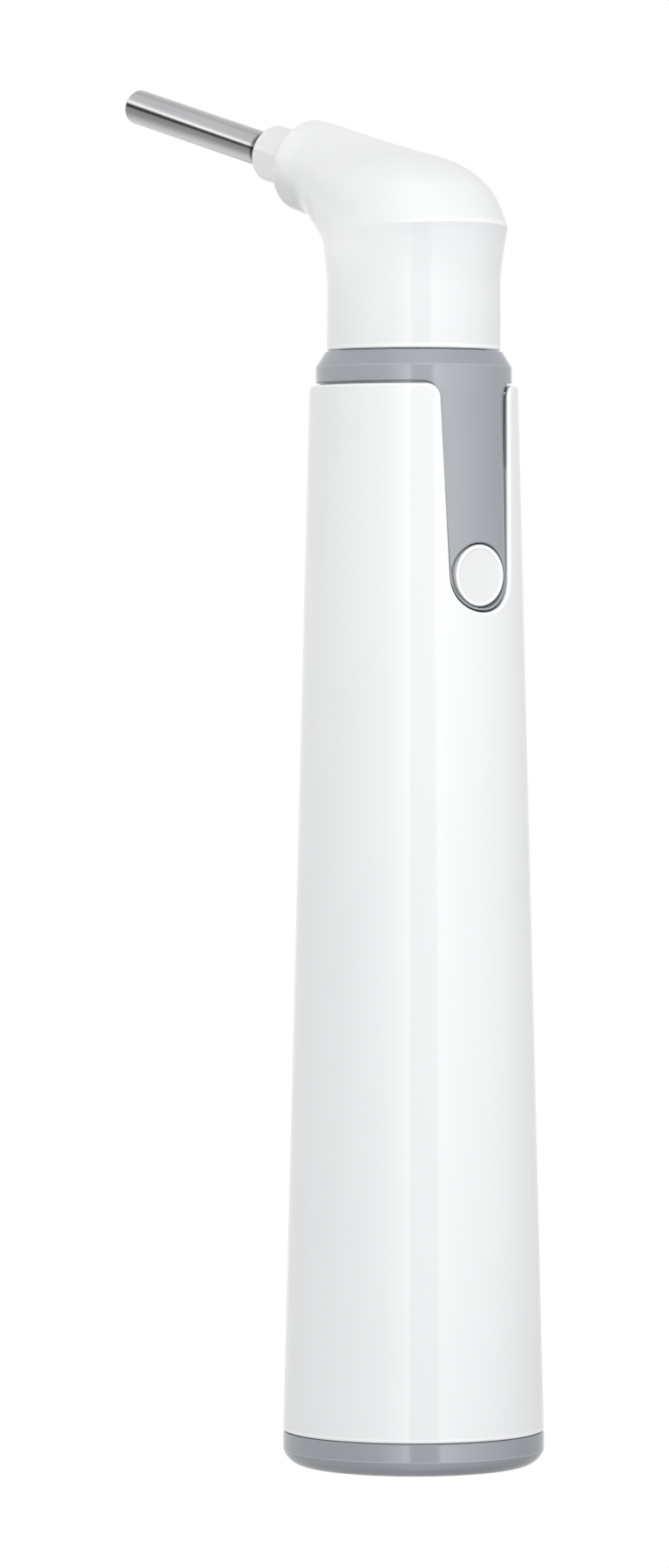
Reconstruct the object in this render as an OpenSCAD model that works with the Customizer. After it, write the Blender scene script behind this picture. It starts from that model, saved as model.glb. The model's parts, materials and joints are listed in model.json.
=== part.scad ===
// Cordless pen-type curing light: conical handle, angled head, steel-jacketed light guide.
// Z runs up the handle, the foot stands on z = 0, the nose points to -X and the button to +X.

/* [Handle] */
// Radius of the foot and of the widest part of the shell
foot_r = 16; // [15.6:0.1:16.4]
// Height of the grey foot cap
cap_h = 4.2; // [4:0.1:4.8]
// Height of the rounding under the foot
foot_round = 1.9; // [1:0.1:2.5]
// Height of the shell's upper rim
rim_z = 132.1; // [131.5:0.1:132.5]
// Outer radius of the shell at the rim
rim_r = 12.8; // [12.7:0.05:13]
// Wall thickness of the conical shell
wall = 1.8; // [1.4:0.1:2]

/* [Control strip] */
// Half width of the cut-out at the rim
slot_top = 5.5; // [5:0.05:6]
// Radius of the cut-out's round end
slot_end_r = 4.65; // [4.5:0.05:4.8]
// Height of the push button's axis
button_z = 108.9; // [108:0.1:110]
// Diameter of the push button
button_d = 7.5; // [7:0.1:7.6]
// Fillet where the cut-out meets the rim
slot_fillet = 1.8; // [1:0.1:2]

/* [Collar] */
// Outer radius of the grey collar
collar_r = 12; // [11.9:0.05:12.02]
// Height of the seam between collar and head
seam_z = 136.3; // [136:0.05:136.6]
// Radius of the head's spigot
spigot_r = 8.55; // [8.4:0.05:8.6]

/* [Head] */
// Radius of the head's neck
neck_r = 10.65; // [10.4:0.05:10.8]
// Rise of the nose above level, degrees
nose_angle = 15; // [14:0.5:16]
// Height at which the nose axis meets the handle axis
nose_z = 154.7; // [154.4:0.1:155]
// Distance from the handle axis to the nose's front
nose_len = 21.4; // [21:0.1:22]
// Radius of the nose
nose_r = 5.8; // [5.6:0.05:6]

/* [Light guide] */
// Radius of the visible part of the ferrule
ferrule_r = 3.57; // [3.5:0.01:3.6]
// Distance from the handle axis to the ferrule's front
ferrule_end = 28.3; // [27:0.1:30]
// Radius of the steel jacket
tip_r = 2.2; // [2.1:0.05:2.4]
// Distance from the handle axis to the tip of the guide
tip_end = 56.9; // [50:0.1:62]
// Radius of the glass core
core_r = 1.8; // [1.5:0.05:1.85]

/* [Cell] */
// Diameter of the rechargeable cell
cell_d = 18.2; // [18:0.1:18.4]
// Length of the cell with its positive button
cell_len = 65.2; // [65:0.1:65.4]

/* [Hidden] */

white = [0.95, 0.95, 0.94];
grey = [0.66, 0.68, 0.70];
dark = [0.20, 0.21, 0.22];
steel = [0.72, 0.73, 0.75];
gold = [0.85, 0.68, 0.30];
board_green = [0.10, 0.35, 0.22];

// Outer radius of the conical shell at height z
function shell_r(z) = foot_r - (foot_r - rim_r) * (z - cap_h) / (rim_z - cap_h);
// Outer radius of the control strip at height z: flush with the collar at the rim
strip_low_z = button_z - slot_end_r;
function strip_r(z) = collar_r + 1.1 * (rim_z - z) / (rim_z - strip_low_z);
thread_r = 13.6;    // bore for the cap's thread, drawn plain
thread_top = 12.4;
skirt_z = 122.2;    // lower end of the collar's skirt
cell_z = 12;        // underside of the cell
board_x = 3.6;      // back face of the control board
board_t = 1.6;
groove_z = 126.2;   // groove of the head's snap ring
clear = 0.05;       // gap of a running fit

// A solid turned about Z from a profile of [radius, height] points
module turned(points) rotate_extrude($fn = 96) polygon(points);
// Places children on the nose axis; their Z runs outward along the nose
module on_nose(s = 0) translate([0, 0, nose_z]) rotate([0, nose_angle - 90, 0]) translate([0, 0, s]) children();
// Points of an arc in a plane, angles in degrees
function arc(cx, cy, r, a0, a1, n = 6) = [for (i = [0:n]) let (a = a0 + (a1 - a0) * i / n) [cx + r * cos(a), cy + r * sin(a)]];
// A split ring of rectangular section
module split_ring(r0, r1, h, gap) rotate([0, 0, gap / 2]) rotate_extrude(angle = 360 - gap, $fn = 96) translate([r0, 0]) square([r1 - r0, h]);
// A round ring of wire
module o_ring(r, w) rotate_extrude($fn = 96) translate([r, 0]) circle(r = w, $fn = 32);
// The cut-out's outline, made smaller by inset, as a prism along +X
module slot_prism(inset, top) {
    half = slot_end_r + (slot_top - slot_end_r) * (top - button_z) / (rim_z - button_z);
    translate([0, 0, button_z]) rotate([0, 90, 0]) cylinder(r = slot_end_r - inset, h = 30, $fn = 96);
    rotate([90, 0, 90]) linear_extrude(30)
        polygon([[-slot_end_r + inset, button_z], [slot_end_r - inset, button_z],
                 [half - inset, top], [-half + inset, top]]);
}

module body_shell() color(white) difference() {
    turned(concat(
        [[thread_r, cap_h], [foot_r - 0.25, cap_h], [foot_r, cap_h + 0.25]],
        arc(rim_r - 0.35, rim_z - 0.35, 0.35, 0, 90, 4),
        [[collar_r + clear, rim_z], [collar_r + clear, skirt_z], [shell_r(skirt_z) - wall, skirt_z],
         [shell_r(thread_top + 0.8) - wall, thread_top + 0.8], [thread_r, thread_top]]));
    slot_prism(0, rim_z + 5);
    for (side = [-1, 1]) difference() {
        translate([5, side > 0 ? slot_top - 0.1 : -slot_top - slot_fillet + 0.1, rim_z - slot_fillet]) cube([12, slot_fillet, slot_fillet + 1]);
        translate([4, side * (slot_top + slot_fillet - 0.1), rim_z - slot_fillet]) rotate([0, 90, 0]) cylinder(r = slot_fillet, h = 14, $fn = 64);
    }
}

// Collar, skirt and control strip are one moulding
module collar_panel() color(grey) difference() {
    union() {
        turned([[spigot_r + 0.1, skirt_z], [collar_r, skirt_z], [collar_r, seam_z - 1.85],
                [neck_r + 0.15, seam_z - 0.1], [spigot_r + 0.1, seam_z - 0.1]]);
        intersection() {
            turned([[11, strip_low_z], [strip_r(strip_low_z), strip_low_z], [strip_r(rim_z), rim_z], [11, rim_z]]);
            slot_prism(0.2, rim_z + 2);
        }
    }
    translate([0, 0, button_z]) rotate([0, 90, 0]) cylinder(d = button_d + 0.56, h = 20, $fn = 96);
    translate([0, 0, groove_z]) cylinder(r = 9.5, h = 1, $fn = 96);
}

// Carriage under the collar: bulkhead over the cell, rear half tube, two screw bosses
module chassis_frame() color([0.30, 0.31, 0.33]) difference() {
    union() {
        translate([0, 0, 78]) cylinder(r = 11.9, h = 2, $fn = 96);
        difference() {
            translate([0, 0, 79]) cylinder(r = 11, h = skirt_z - 0.1 - 79, $fn = 96);
            translate([0, 0, 80]) cylinder(r = 9.6, h = 60, $fn = 96);
            translate([board_x - 0.1, -20, 80]) cube([20, 40, 60]);
        }
        for (z = [84.5, 116.5]) translate([-10, 0, z]) rotate([0, 90, 0]) cylinder(r = 2.6, h = board_x + 9.9, $fn = 48);
    }
    for (z = [84.5, 116.5]) translate([-2, 0, z]) rotate([0, 90, 0]) cylinder(r = 1, h = 10, $fn = 32);
    translate([2.6, -12.5, 77]) cube([0.9, 4.2, 9]);
    translate([2.6, -2, 77]) cube([0.9, 4, 4]);
}

module control_board() color(board_green) difference() {
    translate([board_x, -9.2, 81]) cube([board_t, 18.4, 38.8]);
    for (z = [84.5, 116.5]) translate([0, 0, z]) rotate([0, 90, 0]) cylinder(r = 1.1, h = 10, $fn = 32);
}

module board_screws() color(steel) for (z = [84.5, 116.5]) translate([0, 0, z]) rotate([0, 90, 0]) difference() {
    union() {
        cylinder(r = 0.95, h = board_x + board_t + 0.2, $fn = 32);
        translate([0, 0, board_x + board_t]) cylinder(r = 1.9, h = 1.2, $fn = 48);
    }
    for (a = [0, 90]) rotate([0, 0, a]) translate([-1.2, -0.2, board_x + board_t + 0.6]) cube([2.4, 0.4, 1]);
}

module tact_switch() color(dark) difference() {
    translate([board_x + board_t, -3, button_z - 3]) cube([3.4, 6, 6]);
    translate([7, 0, button_z]) rotate([0, 90, 0]) cylinder(r = 1.68, h = 4, $fn = 48);
}

module switch_plunger() color([0.85, 0.25, 0.2]) translate([7.6, 0, button_z]) rotate([0, 90, 0]) cylinder(r = 1.6, h = 1.55, $fn = 48);

// Button with a raised rim round a shallow dish, and a flange that keeps it behind the strip
module power_button() color(white) translate([0, 0, button_z]) rotate([0, 90, 0]) {
    turned(concat([[0, 9.4], [button_d / 2, 9.4]], arc(button_d / 2 - 0.17, 12.38, 0.17, 0, 90, 3),
        [[button_d / 2 - 0.33, 12.55], [button_d / 2 - 0.5, 12.49], [button_d / 2 - 0.67, 12.44], [0, 12.39]]));
    translate([0, 0, 9.2]) cylinder(r = 4.5, h = 0.75, $fn = 96);
}

module driver_chip() color(dark) translate([board_x + board_t, -2.5, 96]) cube([0.9, 5, 5]);

module drive_inductor() color([0.35, 0.34, 0.33]) translate([board_x + board_t, 0, 91]) rotate([0, 90, 0]) {
    translate([-3, -3, 0]) cube([6, 6, 0.6]);
    cylinder(r = 2.8, h = 2.8, $fn = 48);
}

module buzzer() color(dark) translate([board_x - 4, 0, 101]) rotate([0, 90, 0]) difference() {
    cylinder(r = 4.5, h = 4, $fn = 64);
    translate([0, 0, -1]) cylinder(r = 0.8, h = 1.8, $fn = 24);
}

module slip_pin_block() color([0.88, 0.87, 0.82]) translate([0, 0, 120.2]) cylinder(r = spigot_r, h = 2.4, $fn = 96);

module slip_springs() color(gold) for (x = [-2.9, 5.8]) translate([x, 0, 122.6]) {
    cylinder(r = 0.7, h = 0.7, $fn = 32);
    cylinder(r = 0.45, h = 1.17, $fn = 32);
}

module head_snap_ring() color(steel) translate([0, 0, groove_z + 0.1]) split_ring(7.8, 9.4, 0.8, 30);

module battery_cell() color([0.20, 0.42, 0.72]) translate([0, 0, cell_z]) {
    turned([[0, 0], [cell_d / 2 - 0.5, 0], [cell_d / 2, 0.5], [cell_d / 2, cell_len - 2.1],
            [cell_d / 2 - 0.6, cell_len - 1.4], [3.2, cell_len - 1.4], [3, cell_len], [0, cell_len]]);
}

// Sleeve with four fins that reach the shell's cone
module battery_sleeve() color([0.86, 0.86, 0.84]) difference() {
    union() {
        translate([0, 0, 12.8]) cylinder(r = 10.2, h = 63.6, $fn = 96);
        intersection() {
            turned([[0, 12.8], [shell_r(thread_top + 1) - wall - 0.3, 12.8], [shell_r(76.4) - wall - 0.3, 76.4], [0, 76.4]]);
            for (a = [45, 135]) rotate([0, 0, a]) translate([-20, -0.7, 12.8]) cube([40, 1.4, 63.6]);
        }
    }
    translate([0, 0, 12]) cylinder(r = cell_d / 2 + 0.1, h = 66, $fn = 96);
}

module cell_top_contact() color(gold) {
    translate([0, 0, cell_z + cell_len + 0.02]) cylinder(r = 4.4, h = 0.4, $fn = 48);
    translate([2.8, -1.5, cell_z + cell_len + 0.02]) cube([0.5, 3, 4.2]);
}

module return_strip() color(gold) {
    translate([2.8, -10.7, 12.8]) cube([0.5, 0.4, 71]);
    translate([2.8, -10.7, 81.8]) cube([0.5, 2.2, 2]);
}

// Profile of the head: under side, back and half width of successive sections.
// Each row is [x, z] under the nose, [x, z] on the back, half width, and how far the widest place moves to the back.
function nose_row(s, r) = let (c = cos(nose_angle), t = sin(nose_angle))
    [-s * c - r * t, nose_z + s * t - r * c, -s * c + r * t, nose_z + s * t + r * c, r, 0];
sections = [
    [-neck_r, seam_z + 0.1, neck_r, seam_z + 0.1, neck_r, 0],
    [-neck_r, 141, neck_r, 141, neck_r, 0],
    [-neck_r, 145, neck_r, 145.2, neck_r, 0],
    [-10.96, 147.8, 11.14, 148.8, 10.94, 0],
    [-12.1, 149.74, 11.5, 151.9, 11.09, 0.08],
    [-13.61, 150.96, 9.56, 155.47, 10.82, 0.11],
    [-15.15, 151.99, 7.1, 157.99, 10.3, 0.13],
    [-16.01, 152.63, 3.34, 159.95, 9.55, 0.13],
    [-16.47, 152.93, -1.44, 161.19, 8.62, 0.13],
    [-16.95, 153.12, -9.05, 163.16, 6.89, 0.05],
    nose_row(17, nose_r + 0.1),
    nose_row(nose_len - 0.8, nose_r),
    nose_row(nose_len - 0.2, nose_r - 0.25),
    nose_row(nose_len, nose_r - 0.8)];
crease = 4;         // section at which the hood's edge stays sharp
steps = 2;          // sections added between two rows
around = 40;        // points round a section
function mix3(p, q, r, s, t) = 0.5 * (2 * q + (r - p) * t + (2 * p - 5 * q + 4 * r - s) * t * t + (3 * q - p - 3 * r + s) * t * t * t);
last = len(sections) - 1;
// The under side (first two numbers) runs smoothly past the crease
function row_at(i, t) = let (q = sections[i], r = sections[i + 1],
    p0 = i > 0 ? sections[i - 1] : 2 * q - r, s0 = i + 2 <= last ? sections[i + 2] : 2 * r - q,
    p1 = i != crease ? p0 : 2 * q - r, s1 = i + 1 != crease ? s0 : 2 * r - q)
    [for (k = [0:5]) k < 2 ? mix3(p0[k], q[k], r[k], s0[k], t) : mix3(p1[k], q[k], r[k], s1[k], t)];
rows = concat([for (i = [0:last - 1], k = [0:steps - 1]) row_at(i, k / steps)], [sections[last]]);
function row_points(w) = [for (j = [0:around - 1]) let (a = 360 * j / around, c = cos(a), s = sin(a))
    [(w[0] + w[2]) / 2 + (w[2] - w[0]) / 2 * c, w[4] * s * (1 + w[5] * c), (w[1] + w[3]) / 2 + (w[3] - w[1]) / 2 * c]];
head_points = [for (w = rows) each row_points(w)];
head_faces = concat([[for (j = [0:around - 1]) j]],
    [for (i = [0:len(rows) - 2], j = [0:around - 1]) let (a = i * around + j, b = i * around + (j + 1) % around) [a, a + around, b + around]],
    [for (i = [0:len(rows) - 2], j = [0:around - 1]) let (a = i * around + j, b = i * around + (j + 1) % around) [a, b + around, b]],
    [[for (j = [around - 1:-1:0]) (len(rows) - 1) * around + j]]);

module head_shell() color(white) difference() {
    polyhedron(head_points, head_faces, convexity = 6);
    translate([0, 0, seam_z - 1]) cylinder(r = 9, h = 14.4, $fn = 96);
    translate([0, 0, seam_z + 13.4]) cylinder(r1 = 9, r2 = 7, h = 4.5, $fn = 96);
    on_nose(-4.2) cylinder(r = 4.72, h = 11.2, $fn = 96);
    on_nose(6.5) cylinder(r = 4.33, h = 13.95, $fn = 96);
    on_nose(18) cylinder(r = 3.72, h = 6, $fn = 96);
}

// Spigot below, cup for the heat sink above
module head_core() color([0.80, 0.80, 0.79]) turned([
    [4.2, 124.8], [spigot_r, 124.8], [spigot_r, groove_z], [7.7, groove_z], [7.7, groove_z + 1], [spigot_r, groove_z + 1],
    [spigot_r, 131], [7.5, 131], [7.5, 132.8], [spigot_r, 132.8],
    [spigot_r, seam_z + 0.2], [8.95, seam_z + 0.2], [8.95, 149.7], [6, 149.7], [6, 139.4], [5.5, 139.4], [5.5, 137], [4.2, 137]]);

module head_o_ring() color(dark) translate([0, 0, 131.9]) o_ring(8.06, 0.54);

module head_contact_board() color(board_green) translate([0, 0, 123.9]) cylinder(r = 8.1, h = 0.88, $fn = 96);

module slip_tracks() color(gold) translate([0, 0, 123.82]) {
    difference() { cylinder(r = 3.7, h = 0.06, $fn = 96); translate([0, 0, -1]) cylinder(r = 2.1, h = 3, $fn = 96); }
    difference() { cylinder(r = 6.6, h = 0.06, $fn = 96); translate([0, 0, -1]) cylinder(r = 5, h = 3, $fn = 96); }
}

// Round wire swept along a route, one ring of eight points at each corner
function wire_way(route, i) = let (n = len(route) - 1, d = i == 0 ? route[1] - route[0] : i == n ? route[n] - route[n - 1]
    : (route[i] - route[i - 1]) / norm(route[i] - route[i - 1]) + (route[i + 1] - route[i]) / norm(route[i + 1] - route[i])) d / norm(d);
function wire_ring(route, i, r) = let (t = wire_way(route, i), u0 = cross(t, [0, 1, 0]), u = u0 / norm(u0), v = cross(t, u))
    [for (k = [0:7]) route[i] + r * (cos(45 * k) * u + sin(45 * k) * v)];
module wire(route, r) {
    n = len(route);
    polyhedron([for (i = [0:n - 1]) each wire_ring(route, i, r)], concat([[for (k = [0:7]) k]],
        [for (i = [0:n - 2], k = [0:7]) let (a = i * 8 + k, b = i * 8 + (k + 1) % 8) [a, a + 8, b + 8]],
        [for (i = [0:n - 2], k = [0:7]) let (a = i * 8 + k, b = i * 8 + (k + 1) % 8) [a, b + 8, b]],
        [[for (k = [7:-1:0]) (n - 1) * 8 + k]]), convexity = 4);
}
// Leads run up through the spigot, the heat sink and past its stub to the LED board
module head_leads() color([0.75, 0.15, 0.12]) for (side = [-1, 1])
    wire([for (p = [[0, 2.5, 124.85], [0, 2.5, 135], [-0.6, 2.8, 136.2], [-2.5, 3.7, 138.2], [-3, 3.9, 139.2],
        [-3, 3.9, 153.8], [-3.3, 3.9, 155], [-4.2, 3.9, 155.7], [-5.2, 3.9, 156.1]]) [p[0], side * p[1], p[2]]], 0.4);

// Slug with a slanted stub that carries the LED board
module heat_sink() color([0.78, 0.79, 0.80]) difference() {
    union() {
        translate([0, 0, 139.45]) cylinder(r = 5.9, h = 11.2, $fn = 96);
        intersection() {
            on_nose(-3.9) cylinder(r = 4.65, h = 9.4, $fn = 96);
            translate([-20, -3.2, 130]) cube([40, 6.4, 40]);
        }
    }
    for (side = [-1, 1]) translate([-3, side * 3.9, 139]) cylinder(r = 0.62, h = 13, $fn = 32);
}

module led_board() color([0.92, 0.92, 0.90]) on_nose(5.6) cylinder(r = 4.25, h = 1.2, $fn = 64);
module led_emitter() color([0.95, 0.90, 0.60]) on_nose(6.82) translate([-1.7, -1.7, 0]) cube([3.4, 3.4, 0.8]);
module led_dome() color([0.80, 0.88, 0.95, 0.6]) on_nose(7.64) intersection() {
    sphere(r = 1.4, $fn = 48);
    translate([-2, -2, 0]) cube([4, 4, 4]);
}
module lens_holder() color(dark) on_nose(0) turned([[3.3, 6.85], [4.25, 6.85], [4.25, 11.9], [3.35, 11.9], [3.35, 10.9], [3.1, 10.9], [3.1, 8]]);
module collimator_lens() color([0.80, 0.88, 0.95, 0.6]) on_nose(0) turned([[0, 9.3], [1.8, 9.3], [2.9, 10.95], [3.3, 10.95], [3.3, 11.7], [0, 11.85]]);

// Metal bush with grooves for the split ring and the seal
module guide_socket() color([0.75, 0.72, 0.62]) on_nose(0) turned([
    [3.15, 12], [4.28, 12], [4.28, 20.35], [3.15, 20.35],
    [3.15, 18.7], [3.85, 18.7], [3.85, 17.2], [3.15, 17.2],
    [3.15, 14.9], [3.75, 14.9], [3.75, 14], [3.15, 14]]);
module guide_o_ring() color(dark) on_nose(17.95) o_ring(3.48, 0.34);
module guide_snap_ring() color(steel) on_nose(14.06) split_ring(3.13, 3.69, 0.78, 36);

module guide_ferrule() color(white) on_nose(0) turned(concat(
    [[core_r + 0.21, 12.6], [2.9, 12.6], [3.08, 12.9], [3.08, 20.5]],
    [[ferrule_r, 20.5]], arc(ferrule_r - 0.4, ferrule_end - 0.4, 0.4, 0, 90, 4), [[core_r + 0.21, ferrule_end]]));
module guide_jacket() color(steel) on_nose(0) turned(concat(
    [[core_r + 0.02, 12.6], [core_r + 0.2, 12.6], [core_r + 0.2, ferrule_end + 0.02], [tip_r, ferrule_end + 0.02]],
    arc(tip_r - 0.3, tip_end - 0.3, 0.3, 0, 90, 4), [[core_r + 0.02, tip_end]]));
module guide_core() color([0.78, 0.86, 0.92, 0.7]) on_nose(12.6) cylinder(r = core_r, h = tip_end - 12.68, $fn = 64);

// Foot cap: floor, rounded edge that starts at a slight crease, and a spigot that screws into the shell
foot_cut = 19;      // angle of the rounding at its upper end
round_r = foot_round / (1 - sin(foot_cut));
module base_cap() color(grey) difference() {
    turned(concat([[0, 0]], arc(foot_r - round_r * cos(foot_cut), round_r, round_r, -90, -foot_cut, 8),
        [[foot_r, cap_h - 0.05], [thread_r - 0.08, cap_h - 0.05], [thread_r - 0.08, 5], [12.5, 5], [12.5, 6.6], [thread_r - 0.08, 6.6],
         [thread_r - 0.08, 11], [thread_r - 0.6, 11.5], [11.6, 11.5], [11.6, 2.2], [0, 2.2]]));
    for (x = [-7, 7]) translate([x, 0, -1]) cylinder(r = 1.65, h = 5, $fn = 48);
}
module cap_o_ring() color(dark) translate([0, 0, 5.8]) o_ring(13.05, 0.5);
module charge_board() color(board_green) difference() {
    translate([0, 0, 3.2]) cylinder(r = 11.3, h = 1, $fn = 96);
    for (x = [-7, 7]) translate([x, 0, 2]) cylinder(r = 0.75, h = 4, $fn = 32);
}
module charge_contacts() color(gold) for (x = [-7, 7]) translate([x, 0, 0]) {
    translate([0, 0, 0.3]) cylinder(r = 1.6, h = 2.85, $fn = 48);
    translate([0, 0, 3]) cylinder(r = 0.7, h = 1.6, $fn = 32);
}

// Conical contact spring swept along its own helix
coil_turns = 4.25;
coil_low = 4.65;
coil_high = cell_z - 0.5;
coil_sides = 8;
coil_rings = 60;
function coil_at(u) = let (a = 360 * coil_turns * u, r = 5.6 - 2.2 * u,
    rise = coil_low + (coil_high - coil_low) * (u < 0.1 ? 0 : u > 0.9 ? 1 : (u - 0.1) / 0.8)) [r * cos(a), r * sin(a), rise];
coil_points = [for (i = [0:coil_rings]) let (u = i / coil_rings, a = 360 * coil_turns * u, c = coil_at(u))
    each [for (k = [0:coil_sides - 1]) let (b = 360 * k / coil_sides) c + 0.35 * [cos(b) * cos(a), cos(b) * sin(a), sin(b)]]];
coil_faces = concat([[for (k = [0:coil_sides - 1]) k]],
    [for (i = [0:coil_rings - 1], k = [0:coil_sides - 1]) let (a = i * coil_sides + k, b = i * coil_sides + (k + 1) % coil_sides) [a, a + coil_sides, b + coil_sides]],
    [for (i = [0:coil_rings - 1], k = [0:coil_sides - 1]) let (a = i * coil_sides + k, b = i * coil_sides + (k + 1) % coil_sides) [a, b + coil_sides, b]],
    [[for (k = [coil_sides - 1:-1:0]) coil_rings * coil_sides + k]]);
module cell_spring() color(steel) polyhedron(coil_points, coil_faces, convexity = 10);

body_shell();
collar_panel();
chassis_frame();
control_board();
board_screws();
tact_switch();
driver_chip();
drive_inductor();
buzzer();
slip_pin_block();
slip_springs();
head_snap_ring();
battery_cell();
battery_sleeve();
cell_top_contact();
return_strip();
power_button();
switch_plunger();
head_shell();
head_core();
head_o_ring();
head_contact_board();
slip_tracks();
head_leads();
heat_sink();
led_board();
led_emitter();
led_dome();
lens_holder();
collimator_lens();
guide_socket();
guide_o_ring();
guide_snap_ring();
guide_ferrule();
guide_jacket();
guide_core();
base_cap();
cap_o_ring();
charge_board();
charge_contacts();
cell_spring();
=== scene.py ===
"""Cordless curing light: looks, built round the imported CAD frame."""
import bpy, json, math
import numpy as np
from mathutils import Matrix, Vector, geometry


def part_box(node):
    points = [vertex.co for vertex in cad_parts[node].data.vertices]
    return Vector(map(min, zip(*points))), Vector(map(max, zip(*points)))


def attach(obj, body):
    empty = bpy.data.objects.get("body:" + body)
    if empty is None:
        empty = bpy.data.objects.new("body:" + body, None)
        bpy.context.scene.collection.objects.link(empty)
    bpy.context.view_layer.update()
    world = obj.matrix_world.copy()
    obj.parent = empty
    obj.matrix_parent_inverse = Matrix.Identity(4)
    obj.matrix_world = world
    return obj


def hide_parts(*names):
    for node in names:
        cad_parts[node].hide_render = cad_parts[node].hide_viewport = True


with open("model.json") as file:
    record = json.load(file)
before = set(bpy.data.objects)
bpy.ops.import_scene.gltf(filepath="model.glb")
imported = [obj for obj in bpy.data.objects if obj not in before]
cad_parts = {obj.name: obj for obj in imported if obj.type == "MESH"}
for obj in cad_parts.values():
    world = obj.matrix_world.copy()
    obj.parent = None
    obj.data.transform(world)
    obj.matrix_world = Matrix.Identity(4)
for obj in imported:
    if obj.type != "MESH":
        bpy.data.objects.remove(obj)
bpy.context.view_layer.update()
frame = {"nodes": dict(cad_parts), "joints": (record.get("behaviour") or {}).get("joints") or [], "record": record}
REC = frame["record"]
MM = 0.001


def ends(node):
    lo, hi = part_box(node)
    return np.array(lo) * 1000.0, np.array(hi) * 1000.0


# ---------------------------------------------------------------- sizes, in mm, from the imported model
_s_lo, _s_hi = ends("body_shell")
_c_lo, _c_hi = ends("collar_panel")
_b_lo, _b_hi = ends("power_button")
_f_lo, _f_hi = ends("base_cap")
_h_lo, _h_hi = ends("head_shell")
_j_lo, _j_hi = ends("guide_jacket")
JOINT = {j["name"]: j for j in frame["joints"]}
FOOT_R = _s_hi[1]                      # 16.0
SEAM_LOW = _s_lo[2]                    # 4.4
RIM_Z = _s_hi[2]                       # 132.0
RIM_R = 12.8
COLLAR_R = _c_hi[1]                    # 12.0
SEAM_TOP = _h_lo[2]                    # 136.6
BUTTON_Z = (_b_lo[2] + _b_hi[2]) / 2   # 108.9
NOSE_AX = np.array(JOINT["guide_turn"]["axis"], float)
NOSE_AX /= np.linalg.norm(NOSE_AX)
_p = np.array(JOINT["guide_turn"]["pos_m"], float) * 1000.0
NOSE_Z = _p[2] - _p[0] / NOSE_AX[0] * NOSE_AX[2]      # height at which the nose axis meets x = 0
NOSE_UP = np.array([NOSE_AX[2], 0.0, -NOSE_AX[0]])
SLOPE = (FOOT_R - RIM_R) / (RIM_Z - SEAM_LOW)
RM = 13.15                             # radius used to unroll the shell


def shell_r(z):
    return FOOT_R - SLOPE * (np.asarray(z, float) - SEAM_LOW)


# ---------------------------------------------------------------- mesh soup with exact normals
class Soup:
    def __init__(self):
        self.v, self.n, self.e, self.f, self.m, self.k = [], [], [], [], [], 0

    def grid(self, P, N, flip=False, mat=0, e=None):
        """P, N: (rows, cols, 3). Rows run along the profile, columns round it."""
        P = np.asarray(P, float); N = np.asarray(N, float)
        r, c = P.shape[:2]
        idx = self.k + np.arange(r * c).reshape(r, c)
        self.v.append(P.reshape(-1, 3)); self.n.append(N.reshape(-1, 3)); self.k += r * c
        e = np.zeros(r) if e is None else np.asarray(e, float)
        self.e.append((e.reshape(r, -1) + np.zeros((r, c))).ravel())
        a, b = idx[:-1, :-1].ravel(), idx[:-1, 1:].ravel()
        d, e = idx[1:, :-1].ravel(), idx[1:, 1:].ravel()
        q = np.stack([a, b, e, d], 1) if not flip else np.stack([a, d, e, b], 1)
        self.f.extend(map(tuple, q.tolist())); self.m.extend([mat] * len(q))

    def tris(self, P, N, T, mat=0):
        P = np.asarray(P, float)
        self.v.append(P); self.n.append(np.asarray(N, float)); self.e.append(np.zeros(len(P)))
        self.f.extend([tuple(self.k + i for i in t) for t in T]); self.m.extend([mat] * len(T))
        self.k += len(P)

    def build(self, name, fix=None):
        V = np.concatenate(self.v); N = np.concatenate(self.n)
        if fix is not None:
            V, N = fix(V, N)
        N = N / np.maximum(np.linalg.norm(N, axis=1, keepdims=True), 1e-12)
        key = np.round(V * 2e4).astype(np.int64)
        _, first, inv = np.unique(key, axis=0, return_index=True, return_inverse=True)
        inv = inv.reshape(-1)
        faces, corners, mats = [], [], []
        seen = set()
        for f, m in zip(self.f, self.m):
            g, src = [], []
            for i in f:
                w = int(inv[i])
                if w not in g:
                    g.append(w); src.append(i)
            if len(g) < 3:
                continue
            s = frozenset(g)
            if s in seen:
                continue
            seen.add(s)
            faces.append(g); corners.append(src); mats.append(m)
        U = V[first] * MM
        # a face whose winding opposes its own normals is turned over
        out_f, out_c = [], []
        for g, s in zip(faces, corners):
            p = U[g]
            w = np.zeros(3)
            for i in range(1, len(g) - 1):
                w += np.cross(p[i] - p[0], p[i + 1] - p[0])
            if np.dot(w, N[s].sum(0)) < 0:
                g, s = g[::-1], s[::-1]
            out_f.append(g); out_c.append(s)
        used = np.unique(np.concatenate([np.array(g) for g in out_f]))
        remap = -np.ones(len(U), int); remap[used] = np.arange(len(used))
        me = bpy.data.meshes.new(name)
        me.from_pydata(U[used].tolist(), [], [[int(remap[i]) for i in g] for g in out_f])
        me.update()
        me.polygons.foreach_set("use_smooth", [True] * len(me.polygons))
        me.polygons.foreach_set("material_index", mats)
        loops = [N[i] for s in out_c for i in s]
        me.normals_split_custom_set([tuple(x) for x in loops])
        # edge value per point: above zero a painted highlight, below zero painted shade
        raw = np.concatenate(self.e)
        E = np.zeros(len(U)); np.maximum.at(E, inv, raw)
        dark = np.zeros(len(U)); np.minimum.at(dark, inv, raw)
        E = np.where(E > 0, E, dark)
        at = me.attributes.new("edge", "FLOAT", "POINT")
        at.data.foreach_set("value", E[used].astype(np.float32))
        me.update()
        o = bpy.data.objects.new(name, me)
        bpy.context.scene.collection.objects.link(o)
        return o


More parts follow.
